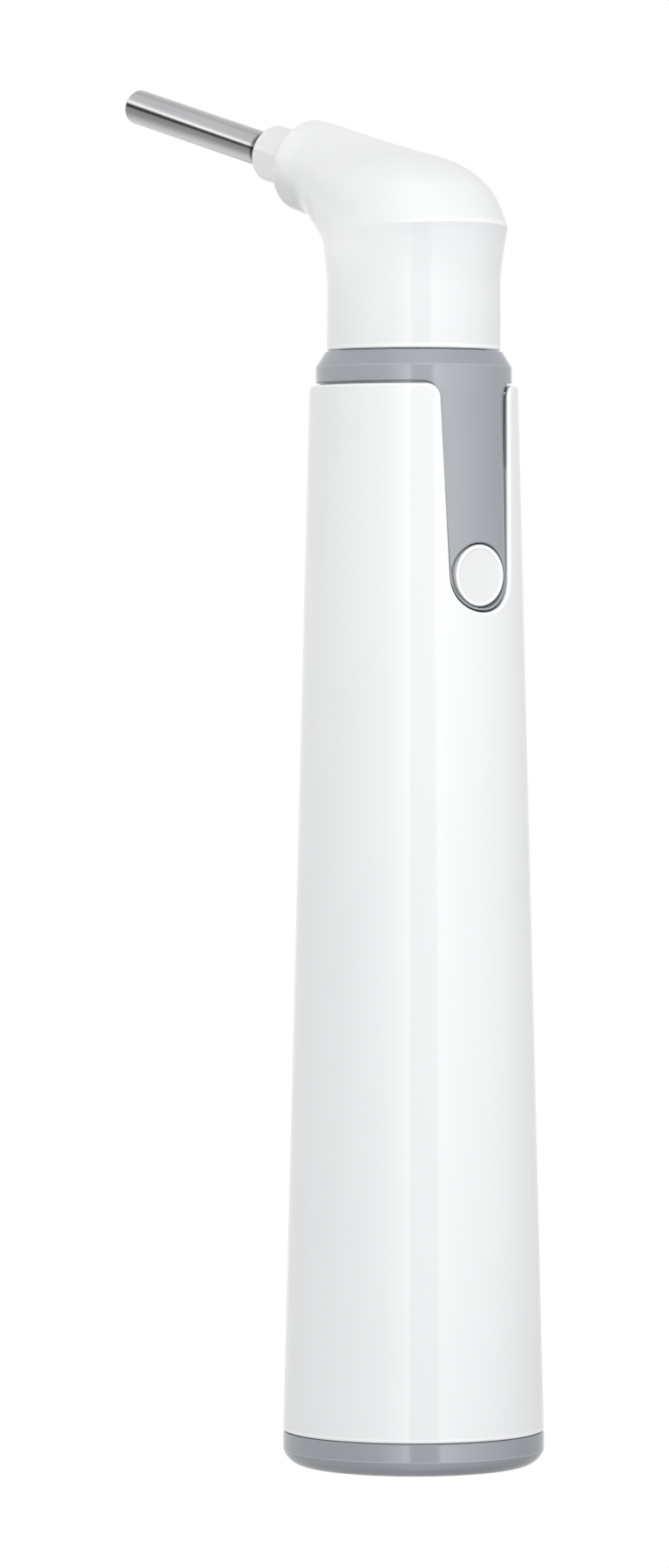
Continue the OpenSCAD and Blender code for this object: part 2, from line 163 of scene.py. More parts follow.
def strip(*pts):
    """Straight piece of a profile: ((r, z), (r, z)); the outside is on the right when going counter-clockwise."""
    p = np.array(pts, float)
    t = p[-1] - p[0]
    n = np.array([t[1], -t[0]]) / np.hypot(*t)
    return p, np.tile(n, (len(p), 1))


def bend(cx, cz, r, a0, a1, n=8):
    a = np.radians(np.linspace(a0, a1, n + 1))
    p = np.stack([cx + r * np.cos(a), cz + r * np.sin(a)], 1)
    nn = np.stack([np.cos(a), np.sin(a)], 1) * (1 if a1 > a0 else -1)
    return p, nn


def lit(seg):
    """Marks a rounding for a painted highlight, a little lighter than the faces beside it."""
    k = len(seg[0])
    return seg[0], seg[1], np.sqrt(np.clip(np.sin(np.pi * np.arange(k) / (k - 1)), 0, 1))


def split(seg, step):
    """Adds points to a straight piece so that none is longer than step."""
    p, n = seg
    k = max(1, int(math.ceil(np.hypot(*(p[-1] - p[0])) / step)))
    t = np.linspace(0, 1, k + 1)[:, None]
    return p[0] * (1 - t) + p[-1] * t, np.tile(n[0], (k + 1, 1))


def place_z(r, h, c, s):
    return np.stack([r * c, r * s, h + 0 * c], -1)


def on_nose(r, h, c, s):
    """Local X is the nose's up, local Z its outward axis."""
    side = np.array([0, 1.0, 0])
    return (np.array([0, 0, NOSE_Z]) + h[..., None] * NOSE_AX + (r * c)[..., None] * NOSE_UP + (r * s)[..., None] * side)


def lathe(soup, segs, n=128, axis="z", a0=0.0, a1=360.0, mat=0):
    a = np.radians(np.linspace(a0, a1, n + 1))
    c, s = np.cos(a)[None, :], np.sin(a)[None, :]
    if a1 - a0 == 360:
        c[:, -1], s[:, -1] = c[:, 0], s[:, 0]
    for seg in segs:
        p, nn = seg[0], seg[1]
        ev = seg[2] if len(seg) > 2 else None
        R, H = p[:, 0][:, None] + 0 * c, p[:, 1][:, None] + 0 * c
        NR, NH = nn[:, 0][:, None] + 0 * c, nn[:, 1][:, None] + 0 * c
        C, S = c + 0 * R, s + 0 * R
        if axis == "z":
            P = np.stack([R * C, R * S, H], -1); N = np.stack([NR * C, NR * S, NH], -1)
        elif axis == "x":
            P = np.stack([H, R * C, BUTTON_Z + R * S], -1); N = np.stack([NH, NR * C, NR * S], -1)
        else:
            side = np.array([0, 1.0, 0])
            P = np.array([0, 0, NOSE_Z]) + H[..., None] * NOSE_AX + (R * C)[..., None] * NOSE_UP + (R * S)[..., None] * side
            N = NH[..., None] * NOSE_AX + (NR * C)[..., None] * NOSE_UP + (NR * S)[..., None] * side
        soup.grid(P, N, mat=mat, e=ev)


# ---------------------------------------------------------------- flat patches cut by outlines, then wrapped
def inside(poly, pts):
    """Even-odd test of points against a closed polygon."""
    x, y = pts[:, 0], pts[:, 1]
    r = np.zeros(len(pts), bool)
    a, b = poly, np.roll(poly, -1, 0)
    for (x0, y0), (x1, y1) in zip(a, b):
        if y0 == y1:
            continue
        hit = ((y0 > y) != (y1 > y)) & (x < (x1 - x0) * (y - y0) / (y1 - y0) + x0)
        r ^= hit
    return r


def near(loop, pts, d):
    """True where a point lies closer than d to a polyline's corners or edges."""
    a, b = loop[:-1], loop[1:]
    t = b - a
    l2 = np.maximum((t ** 2).sum(1), 1e-12)
    out = np.zeros(len(pts), bool)
    for i in range(0, len(pts), 2000):
        q = pts[i:i + 2000, None, :] - a[None]
        u = np.clip((q * t[None]).sum(2) / l2[None], 0, 1)
        e = q - u[..., None] * t[None]
        out[i:i + 2000] = (np.sqrt((e ** 2).sum(2)).min(1) < d)
    return out


def patch(outer, holes, fill):
    """Triangles of the area inside a closed outline and outside the holes. fill holds the inner points."""
    loops = [np.asarray(outer)] + [np.asarray(h) for h in holes]
    pts, edges = [], []
    for l in loops:
        k = sum(len(x) for x in pts)
        pts.append(l)
        edges += [(k + i, k + (i + 1) % len(l)) for i in range(len(l))]
    pts.append(fill)
    allp = np.concatenate(pts)
    res = geometry.delaunay_2d_cdt([Vector(p) for p in allp.tolist()], edges, [], 0, 1e-7)
    V = np.array([tuple(v) for v in res[0]])
    T = np.array([t for t in res[2] if len(t) == 3])
    cen = V[T].mean(1)
    ok = inside(loops[0], cen)
    for h in loops[1:]:
        ok &= ~inside(h, cen)
    return V, T[ok]


# ---------------------------------------------------------------- the cut-out in the shell, unrolled: s along the girth, z up
COLS = 160
COL_S = RM * np.linspace(-math.pi, math.pi, COLS + 1)
END_R = 4.72                            # round end of the cut-out
LIP = 0.38                              # rounding of the shell's edges
GAP = 0.33
DROP = (0.945, 0.968)                            # the cut-out's foot is a little flatter than round
BAND_LOW = 130.0                        # the strip runs into the collar's band here
BAND_TOP = 134.25
_goal = RM * math.asin(5.5 / RIM_R)
_lo, _hi = 0.0, 0.3
for _ in range(60):                     # lean of the cut-out's sides
    _m = (_lo + _hi) / 2
    if _goal * math.cos(_m) - (RIM_Z - BUTTON_Z) * math.sin(_m) > END_R:
        _lo = _m
    else:
        _hi = _m
LEAN = (_lo + _hi) / 2
CL, SL = math.cos(LEAN), math.sin(LEAN)


def outline(a, top, f, sign):
    """Edge line and the direction pointing off the material, from the back round the cut-out to the back again."""
    n = np.array([CL, -SL])
    zc = top - f
    sc = (a + f + (zc - BUTTON_Z) * SL) / CL
    pts, ms = [], []
    for s in COL_S[::-1]:
        if s > sc + 0.15:
            pts.append((s, top)); ms.append((0, sign))
    for al in np.radians(np.linspace(90, 180 - math.degrees(LEAN), max(6, int(f / 0.12)))):
        pts.append((sc + f * math.cos(al), zc + f * math.sin(al))); ms.append((sign * math.cos(al), sign * math.sin(al)))
    p0 = np.array(pts[-1]); p1 = np.array([0, BUTTON_Z]) + a * n
    k = int(np.hypot(*(p1 - p0)) / 0.4)
    for t in np.linspace(0, 1, k + 1)[1:-1]:
        pts.append(tuple(p0 * (1 - t) + p1 * t)); ms.append(tuple(-sign * n))
    for al in np.linspace(-LEAN, -math.pi / 2, 30):
        k = 1 + (DROP[sign < 0] - 1) * max(0.0, -math.sin(al)) ** 2
        pts.append((a * math.cos(al), BUTTON_Z + a * k * math.sin(al))); ms.append((-sign * math.cos(al), -sign * math.sin(al)))
    P, M = np.array(pts, float), np.array(ms, float)
    P[-1, 0] = 0; M[-1, 0] = 0
    return np.concatenate([P, P[-2::-1] * [-1, 1]]), np.concatenate([M, M[-2::-1] * [-1, 1]])


def frame_at(S, R, lean):
    """Cosine and sine of the angle, outward normal, and the two directions along the surface, at girth S. R is not
    used.
    """
    th = np.asarray(S, float) / RM
    c, s = np.cos(th), np.sin(th)
    b = lean + 0 * th
    n = np.stack([np.cos(b) * c, np.cos(b) * s, np.sin(b)], -1)
    e1 = np.stack([-s, c, 0 * c], -1)
    e2 = np.stack([-np.sin(b) * c, -np.sin(b) * s, np.cos(b)], -1)
    return c, s, n, e1, e2


def wrap(rfun, lean):
    def on(S, Z, H=0.0):
        R = rfun(Z)
        c, s, n, e1, e2 = frame_at(S, R, lean(Z))
        P = np.stack([R * c, R * s, np.asarray(Z, float) + 0 * c], -1)
        return P - (np.asarray(H, float) + 0 * c)[..., None] * n, n, e1, e2
    return on


def slide(S, r_from, r_to):
    """Angle at radius r_to with the same distance from the middle plane as girth S has at r_from. At the back the angle stays."""
    th = np.asarray(S, float) / RM
    y = np.clip(r_from * np.sin(th) / r_to, -0.999, 0.999)
    w = np.clip((14.0 - np.abs(S)) / 6.0, 0, 1)
    return th + w * w * (3 - 2 * w) * (np.arcsin(y) - th) * (np.abs(th) < 1.4)


def rounded_edge(soup, on, B, M, rho, inner, steps=6):
    """Rounding along an edge line, with a painted highlight, then the wall down to the inner surface, with painted
    shade near the front.
    """
    rows_p, rows_n = [], []
    for ph in np.radians(np.linspace(0, 90, steps + 1)):
        q = B - M * rho * (1 - math.sin(ph))
        P, n, _, _ = on(q[:, 0], q[:, 1], rho * (1 - math.cos(ph)))
        _, _, e1, e2 = on(B[:, 0], B[:, 1])
        m3 = M[:, :1] * e1 + M[:, 1:] * e2
        rows_p.append(P); rows_n.append(n * math.cos(ph) + m3 * math.sin(ph))
    low = inner(B[:, 0], B[:, 1])
    m3 = rows_n[-1]
    # painted highlight on the rounding, strongest at its middle
    soup.grid(np.stack(rows_p), np.stack(rows_n), e=np.sqrt(np.clip(np.sin(np.pi * np.arange(steps + 1) / steps), 0, 1)))
    # painted shade on the wall within 7 mm of the middle, darkest deep down
    front = np.hypot(B[:, 0], 0) < 7.0
    shade = np.stack([-k * front for k in (0.35, 0.85, 1.0, 1.0)])
    soup.grid(np.stack([rows_p[-1] * (1 - t) + low * t for t in (0, 0.18, 0.5, 1)]), np.stack([m3] * 4), e=shade)


def sheet_patch(soup, edge, lo_z, hi_z, below, mapping, holes=(), cell=0.9, extra=()):
    """Fills the area between an edge line and a level line. below: the level line lies under the edge line."""
    zs = edge[0, 1]
    level = lo_z if below else hi_z
    k = max(2, int(abs(level - zs) / 0.8))
    side = np.linspace(zs, level, k + 1)[1:-1]
    left = np.stack([np.full(len(side), -RM * math.pi), side], 1)
    right = np.stack([np.full(len(side), RM * math.pi), side[::-1]], 1)
    base = np.stack([COL_S, np.full(len(COL_S), level)], 1)
    loop = np.concatenate([edge, left, base, right])
    zz = np.unique(np.concatenate([np.arange(min(lo_z, edge[:, 1].min()) + 0.4, max(hi_z, edge[:, 1].max()), cell), np.array(extra, float).ravel()]))
    G = np.array([(s + (0.25 if i % 2 else 0) * cell, z) for i, z in enumerate(zz) for s in COL_S[::2]])
    G = G[inside(loop, G) & ~near(np.concatenate([loop, loop[:1]]), G, 0.3)]
    for h in holes:
        G = G[~inside(h, G) & ~near(np.concatenate([h, h[:1]]), G, 0.3)]
    V, T = patch(loop, holes, G)
    P, N = mapping(V[:, 0], V[:, 1])
    soup.tris(P, N, T)


# ---------------------------------------------------------------- body shell
CONE = math.atan(SLOPE)
on_shell = wrap(shell_r, lambda z: CONE)
JOIN_Z = 100.0
WALL = 1.8


def seat(z):
    return np.clip((np.asarray(z, float) - 101.0) / 1.5, 0, 1)


def shell_in(z):
    z = np.asarray(z, float)
    t = np.clip((z - 122.0) / 0.2, 0, 1)
    return (shell_r(z) - WALL) * (1 - t) + 12.05 * t


def make_shell():
    so = Soup()
    B, M = outline(END_R, RIM_Z, 1.8, 1)

    def inner(S, Z):
        r = shell_in(Z)
        th = S / RM + seat(Z) * (slide(S, shell_r(Z), r) - S / RM)
        return np.stack([r * np.cos(th), r * np.sin(th), Z + 0 * th], -1)

    rounded_edge(so, on_shell, B, M, LIP, inner)
    edge = B - M * LIP
    sheet_patch(so, edge, JOIN_Z, RIM_Z, True, lambda S, Z: on_shell(S, Z)[:2])
    sheet_patch(so, B, JOIN_Z, RIM_Z, True,
                lambda S, Z: (inner(S, Z), -frame_at(S, 0, 0.0)[2]), extra=(121.9, 122.0, 122.2, 122.3))
    lip = 0.36
    pz = SEAM_LOW + lip + lip * math.sin(CONE)
    cr = float(shell_r(pz)) - lip * math.cos(CONE)
    pa = pz + 0.26
    segs = [strip((13.6, SEAM_LOW), (cr, SEAM_LOW)), bend(cr, SEAM_LOW + lip, lip, -90, math.degrees(CONE), 6),
            strip((float(shell_r(pz)), pz), (float(shell_r(pa)), pa)) + (np.array([1.0, 0.0]),),
            split(strip((float(shell_r(pa)), pa), (float(shell_r(JOIN_Z)), JOIN_Z)), 8.0)]
    r0, r1 = float(shell_in(13.2)), float(shell_in(JOIN_Z))
    segs += [split(strip((r1, JOIN_Z), (r0, 13.2)), 8.0), strip((r0, 13.2), (13.6, 12.4))]
    # painted highlight on the lower lip's rounding
    segs[1] = segs[1] + (np.linspace(0.4, 1.0, len(segs[1][0])),)
    lathe(so, segs, COLS, a0=-180, a1=180)
    # female thread, two-millimetre pitch, cut outward from the bore
    th = np.linspace(-math.pi, math.pi, COLS + 1)
    zz = np.linspace(12.4, SEAM_LOW, 66)
    T, Z = np.meshgrid(th, zz)
    R = 13.6 + thread_depth(T, Z, 0.0, 5.6, 11.9)
    add_turned_field(so, T, Z, R, inward=True)
    return so.build("shell_skin")


def thread_depth(T, Z, phase, lo, hi):
    """Depth of a rounded trapezoid thread at angle T and height Z, faded out towards both ends."""
    u = ((Z - 2.0 * T / (2 * math.pi) + phase) % 2.0) / 2.0
    w = np.clip(1.35 - 4.2 * np.abs(u - 0.5), 0, 1)
    fade = np.clip((Z - lo) / 0.9, 0, 1) * np.clip((hi - Z) / 0.9, 0, 1)
    return 0.34 * (w * w * (3 - 2 * w)) * fade


def add_turned_field(so, T, Z, R, inward=False):
    P = np.stack([R * np.cos(T), R * np.sin(T), Z], -1)
    du = np.gradient(P, axis=1); dv = np.gradient(P, axis=0)
    wrap_u = P[:, 1] - P[:, -2]
    du[:, 0] = wrap_u; du[:, -1] = wrap_u
    N = np.cross(du, dv)
    N /= np.maximum(np.linalg.norm(N, axis=-1, keepdims=True), 1e-12)
    rad = np.stack([np.cos(T), np.sin(T), 0 * T], -1)
    s = np.sign((N * rad).sum(-1, keepdims=True)) * (-1 if inward else 1)
    so.grid(P, N * s)


# ---------------------------------------------------------------- collar and control strip, one moulding
def strip_r(z):
    t = np.maximum((BAND_LOW - np.asarray(z, float)) / (BAND_LOW - 104.25), 0)
    return COLLAR_R + 1.2 * (np.sqrt(t * t + 0.0036) - 0.06)


def strip_lean(z):
    t = np.maximum((BAND_LOW - np.asarray(z, float)) / (BAND_LOW - 104.25), 0)
    return np.arctan(1.2 * t / np.sqrt(t * t + 0.0036) / (BAND_LOW - 104.25))


on_strip = wrap(strip_r, strip_lean)
HOLE_R = 4.08


def make_collar():
    so = Soup()
    B, M = outline(END_R - GAP, RIM_Z + GAP, 1.8 + GAP, -1)
    B = np.stack([RM * slide(B[:, 0], shell_r(B[:, 1]), strip_r(B[:, 1])), B[:, 1]], 1)
    B[:, 0] = np.clip(B[:, 0], -RM * math.pi, RM * math.pi)

    def inner(S, Z):
        th = S / RM
        return np.stack([11.0 * np.cos(th), 11.0 * np.sin(th), Z + 0 * th], -1)

    rho = 0.14
    rounded_edge(so, on_strip, B, M, rho, inner, 5)
    edge = B - M * rho
    al = np.linspace(0, 2 * math.pi, 73)[:-1]
    hr = 0.22

    def hole(a, r_at):
        y, z = 1.03 * a * np.cos(al), BUTTON_Z + 0.978 * a * np.sin(al)
        return np.stack([RM * np.arcsin(y / r_at(z)), z], 1)

    sheet_patch(so, edge, RIM_Z + GAP, BAND_TOP, False, lambda S, Z: on_strip(S, Z)[:2], holes=[hole(HOLE_R + hr, strip_r)], cell=0.7)
    sheet_patch(so, B, RIM_Z + GAP, BAND_TOP, False, lambda S, Z: (inner(S, Z), -frame_at(S, 0, 0.0)[2]),
                holes=[hole(HOLE_R, lambda z: 11.0)], cell=1.2)
    al2 = np.append(al, al[0])
    c, s = np.cos(al2), np.sin(al2)
    rp, rn = [], []
    for ph in np.radians(np.linspace(0, 90, 6)):
        a = HOLE_R + hr * (1 - math.sin(ph))
        y, z = 1.03 * a * c, BUTTON_Z + 0.978 * a * s
        R = strip_r(z)
        x = np.sqrt(R * R - y * y)
        n = np.stack([x / R, y / R, 0.03 + 0 * x], -1)
        rp.append(np.stack([x - hr * (1 - math.cos(ph)), y, z], -1))
        rn.append(n * math.cos(ph) + np.stack([0 * c, -c, -s], -1) * math.sin(ph))
    # painted highlight on the rounding round the button hole
    so.grid(np.stack(rp), np.stack(rn), e=np.sin(np.pi * np.arange(6) / 5) ** 0.5)
    y, z = 1.03 * HOLE_R * c, BUTTON_Z + 0.978 * HOLE_R * s
    low = np.stack([np.sqrt(121 - y * y), y, z], -1)
    so.grid(np.stack([rp[-1], (rp[-1] + low) / 2, low]), np.stack([rn[-1]] * 3))
    lathe(so, [strip((COLLAR_R, BAND_TOP), (11.0, BAND_TOP))], COLS, a0=-180, a1=180)
    # the ring itself: chamfer on top, bore with the snap ring's groove
    rr = 0.55
    ang = 33.0
    lean = math.radians(ang)
    top_z = SEAM_TOP - 0.12
    tx, tz = COLLAR_R - rr + rr * math.cos(lean), BAND_TOP + rr * math.sin(lean)
    ex = tx - (top_z - 0.12 - tz) * math.tan(lean)
    # painted highlight on the rounding between band and chamfer
    segs = [strip((8.65, 122.2), (11.9, 122.2)), strip((11.9, 122.2), (11.9, 130.9)), strip((11.9, 130.9), (11.5, 131.3)),
            strip((11.5, 131.3), (11.5, BAND_TOP)), strip((11.5, BAND_TOP), (COLLAR_R, BAND_TOP)),
            lit(bend(COLLAR_R - rr, BAND_TOP, rr, 0, ang, 8)), strip((tx, tz), (ex, top_z - 0.12)),
            bend(ex - 0.12 * math.cos(lean), top_z - 0.12 - 0.12 * math.sin(lean) + 0.06, 0.12, ang, 90, 5)]
    hx = ex - 0.12 * math.cos(lean)
    hz = top_z - 0.12 - 0.12 * math.sin(lean) + 0.06 + 0.12
    segs[6] = strip((tx, tz), tuple(segs[7][0][0]))
    segs += [strip((hx, hz), (8.65, hz)), strip((8.65, hz), (8.65, 127.2)), strip((8.65, 127.2), (9.5, 127.2)),
             strip((9.5, 127.2), (9.5, 126.2)), strip((9.5, 126.2), (8.65, 126.2)), strip((8.65, 126.2), (8.65, 122.2))]
    lathe(so, segs, COLS, a0=-180, a1=180)
    return so.build("collar_skin")


# ---------------------------------------------------------------- button
def make_button():
    so = Soup()
    q, top, e = 3.75, float(_b_hi[0]), 0.17
    a = np.linspace(0, 1, 13)
    w = 0.5 - 0.5 * np.cos(math.pi * a)                 # rim to dish
    r = q - e - 0.16 - 0.34 * a
    h = top - 0.11 * w
    dr, dh = np.gradient(r), np.gradient(h)
    n = np.stack([dh, -dr], 1)
    b = np.linspace(0, 1, 14)
    r2 = r[-1] * (1 - b)
    h2 = h[-1] - 0.05 * (1 - (1 - b) ** 2)
    dr2, dh2 = np.gradient(r2), np.gradient(h2)
    n2 = np.stack([dh2, -dr2], 1)
    n2 /= np.linalg.norm(n2, axis=1, keepdims=True); n /= np.linalg.norm(n, axis=1, keepdims=True)
    mid = n[-1] + n2[0]; mid /= np.linalg.norm(mid)
    n[-1] = mid; n2[0] = mid; n[0] = (0, 1); n2[-1] = (0, 1)
    # painted highlight on the rim: the rounding and the flat ring, fading into the dish
    ring_e = np.clip(1 - a * 1.6, 0, 1)
    lathe(so, [strip((0, 9.2), (4.5, 9.2)), strip((4.5, 9.2), (4.5, 9.95)), strip((4.5, 9.95), (q, 9.95)),
               strip((q, 9.95), (q, top - e)), (*bend(q - e, top - e, e, 0, 90, 8), np.linspace(0.2, 1, 9)),
               (*split(strip((q - e, top), (r[0], top)), 0.1), np.ones(3)),
               (np.stack([r, h], 1), n, ring_e), (np.stack([r2, h2], 1), n2)], 128, "x")
    return so.build("button_skin")


# ---------------------------------------------------------------- foot cap
def disc(so, z, r, up, rim_cols):
    """Flat disc with the two contact wells left open."""
    a = np.linspace(-math.pi, math.pi, rim_cols + 1)[:-1]
    loop = np.stack([r * np.cos(a), r * np.sin(a)], 1)
    b = np.linspace(0, 2 * math.pi, 49)[:-1]
    holes = [np.stack([x + 1.65 * np.cos(b), 1.65 * np.sin(b)], 1) for x in (-7.0, 7.0)]
    g = np.arange(-r, r, 1.3)
    G = np.array([(x, y) for x in g for y in g if math.hypot(x, y) < r - 0.5])
    for h in holes:
        G = G[~inside(h, G) & ~near(np.concatenate([h, h[:1]]), G, 0.35)]
    V, T = patch(loop, holes, G)
    P = np.stack([V[:, 0], V[:, 1], np.full(len(V), z)], 1)
    so.tris(P, np.tile([0, 0, 1.0 if up else -1.0], (len(P), 1)), T)
    return holes


def make_cap():
    so = Soup()
    cut = 19
    R = 1.9 / (1 - math.sin(math.radians(cut)))
    zb = R - R * math.sin(math.radians(cut))
    cx = FOOT_R - 0.3 + 0.3 * math.cos(math.radians(cut)) - R * math.cos(math.radians(cut))
    cz = zb + 0.3 * math.sin(math.radians(cut))
    top = SEAM_LOW - 0.05
    disc(so, 0.0, cx, False, COLS)
    holes = disc(so, 2.2, 11.6, True, COLS)
    for x in (-7.0, 7.0):
        b = np.linspace(0, 2 * math.pi, 49)
        P = np.stack([np.stack([x + 1.65 * np.cos(b), 1.65 * np.sin(b), z + 0 * b], -1) for z in (0.0, 1.1, 2.2)])
        N = np.tile(np.stack([-np.cos(b), -np.sin(b), 0 * b], -1), (3, 1, 1))
        P[:, -1] = P[:, 0]
        so.grid(P, N)
    s = 13.52
    # painted highlight on the small rounding where the foot's curve meets the wall
    segs = [bend(cx, R, R, -90, -cut, 14), lit(bend(FOOT_R - 0.3, cz, 0.3, -cut, 0, 6)), strip((FOOT_R, cz), (FOOT_R, top - 0.2)),
            bend(FOOT_R - 0.2, top - 0.2, 0.2, 0, 90, 5), strip((FOOT_R - 0.2, top), (s, top)), strip((s, top), (s, 5.0)),
            strip((s, 5.0), (12.5, 5.0)), strip((12.5, 5.0), (12.5, 6.6)), strip((12.5, 6.6), (s, 6.6)),
            strip((s, 11.0), (s - 0.5, 11.5)), strip((s - 0.5, 11.5), (11.6, 11.5)), strip((11.6, 11.5), (11.6, 2.2))]
    lathe(so, segs, COLS, a0=-180, a1=180)
    th = np.linspace(-math.pi, math.pi, COLS + 1)
    T, Z = np.meshgrid(th, np.linspace(6.6, 11.0, 45))
    add_turned_field(so, T, Z, s - thread_depth(T, Z, 1.0, 6.7, 10.95))
    return so.build("cap_skin")


# ---------------------------------------------------------------- light guide
def make_ferrule():
    so = Soup()
    e = 0.4
    r, end = 3.57, 28.3
    # the front edge's rounding is marked for a painted highlight, which the ferrule's finish doesn't use
    lathe(so, [strip((2.01, 12.6), (2.9, 12.6)), strip((2.9, 12.6), (3.08, 12.9)), split(strip((3.08, 12.9), (3.08, 20.5)), 2),
               strip((3.08, 20.5), (r, 20.5)), split(strip((r, 20.5), (r, end - e)), 2), lit(bend(r - e, end - e, e, 0, 90, 10)),
               strip((r - e, end), (2.32, end)), bend(2.32, end - 0.12, 0.12, 90, 180, 4), strip((2.2, end - 0.12), (2.2, end - 0.5)),
               strip((2.2, end - 0.5), (2.01, end - 0.5)), split(strip((2.01, end - 0.5), (2.01, 12.6)), 4)], 128, "nose")
    return so.build("ferrule_skin")


def make_jacket():
    so = Soup()
    tip = 56.89
    e = 0.28
    # painted shade: the tube darkens in a ring beside the ferrule's mouth, from 28 to 30.6 mm along the nose, fading at
    # the far end
    lathe(so, [strip((1.82, 12.6), (2.0, 12.6)), split(strip((2.0, 12.6), (2.0, 27.85)), 4), strip((2.0, 27.85), (2.18, 27.85)),
               strip((2.18, 27.85), (2.18, 28.0)), strip((2.18, 28.0), (2.2, 28.05)) + (np.array([-1.0, -1.0]),),
               strip((2.2, 28.05), (2.2, 30.15)) + (np.array([-1.0, -0.8]),), strip((2.2, 30.15), (2.2, 30.6)) + (np.array([-0.8, 0.0]),),
               split(strip((2.2, 30.6), (2.2, tip - e)), 2), bend(2.2 - e, tip - e, e, 0, 90, 8),
               strip((2.2 - e, tip), (1.82, tip)), split(strip((1.82, tip), (1.82, 12.6)), 4)], 128, "nose")
    return so.build("jacket_skin")


def make_core():
    so = Soup()
    e, r, end = 0.1, 1.8, 56.82
    a = np.linspace(0, 1, 8)
    lathe(so, [strip((0, 12.6), (r, 12.6)), split(strip((r, 12.6), (r, end - e)), 4), bend(r - e, end - e, e, 0, 90, 5),
               (np.stack([(r - e) * (1 - a), end + 0 * a], 1), np.tile([0, 1.0], (8, 1)))], 96, "nose")
    return so.build("core_skin")


# ---------------------------------------------------------------- head: loft through sections, then hollowed
NECK_R = 10.65


def nose_row(s, r):
    c, t = -NOSE_AX[0], NOSE_AX[2]
    return [-s * c - r * t, NOSE_Z + s * t - r * c, -s * c + r * t, NOSE_Z + s * t + r * c, r]


SECTIONS = [
    [-NECK_R, SEAM_TOP + 0.3, NECK_R, SEAM_TOP + 0.3, NECK_R, 0],
    [-NECK_R, 141, NECK_R, 141, NECK_R, 0],
    [-NECK_R, 145, NECK_R, 145.2, NECK_R, 0],
    [-10.96, 147.8, 11.14, 148.8, 10.94, 0],
    [-12.1, 149.74, 11.5, 151.9, 11.09, 0.08],
    [-13.61, 150.96, 9.56, 155.47, 10.82, 0.11],
    [-15.15, 151.99, 7.1, 157.99, 10.3, 0.13],
    [-16.01, 152.63, 3.34, 159.95, 9.55, 0.13],
    [-16.47, 152.93, -1.44, 161.19, 8.62, 0.13],
    [-16.95, 153.12, -9.05, 163.16, 6.89, 0.05],
    nose_row(17, 5.9) + [0],
    nose_row(20.6, 5.8) + [0]]
CREASE = 4


def loft_rings(first, last, per):
    """Sections between two rows. The hood's edge breaks the back and the sides, and the under side runs on smoothly."""
    S = np.array(SECTIONS, float)
    out = []
    for i in range(first, last):
        q, r = S[i], S[i + 1]
        p = (S[i - 1] if i > first else 2 * q - r).copy()
        s = (S[i + 2] if i + 2 <= last else 2 * r - q).copy()
        if i > 0:
            p[:2] = S[i - 1][:2]
        if i + 2 < len(S):
            s[:2] = S[i + 2][:2]
        for k in range(per):
            t = k / per
            out.append(0.5 * (2 * q + (r - p) * t + (2 * p - 5 * q + 4 * r - s) * t * t + (3 * q - p - 3 * r + s) * t ** 3))
    out.append(S[last])
    return np.array(out)


def ring_grid(rows, around=112):
    a = np.linspace(0, 2 * math.pi, around + 1)
    c, s = np.cos(a), np.sin(a)
    c[-1], s[-1] = c[0], s[0]
    F, U, w, k = rows[:, 0:2], rows[:, 2:4], rows[:, 4], rows[:, 5]
    mid, half = (F + U) / 2, (U - F) / 2
    X = mid[:, :1] + half[:, :1] * c
    Z = mid[:, 1:] + half[:, 1:] * c
    Y = w[:, None] * s * (1 + k[:, None] * c)
    return np.stack([X, Y, Z], -1)


def grid_normals(P, centre):
    du = np.gradient(P, axis=1); dv = np.gradient(P, axis=0)
    w = P[:, 1] - P[:, -2]
    du[:, 0] = w; du[:, -1] = w
    N = np.cross(du, dv)
    N /= np.maximum(np.linalg.norm(N, axis=-1, keepdims=True), 1e-12)
    out = P - centre[:, None, :]
    return N * np.sign((N * out).sum(-1).mean())


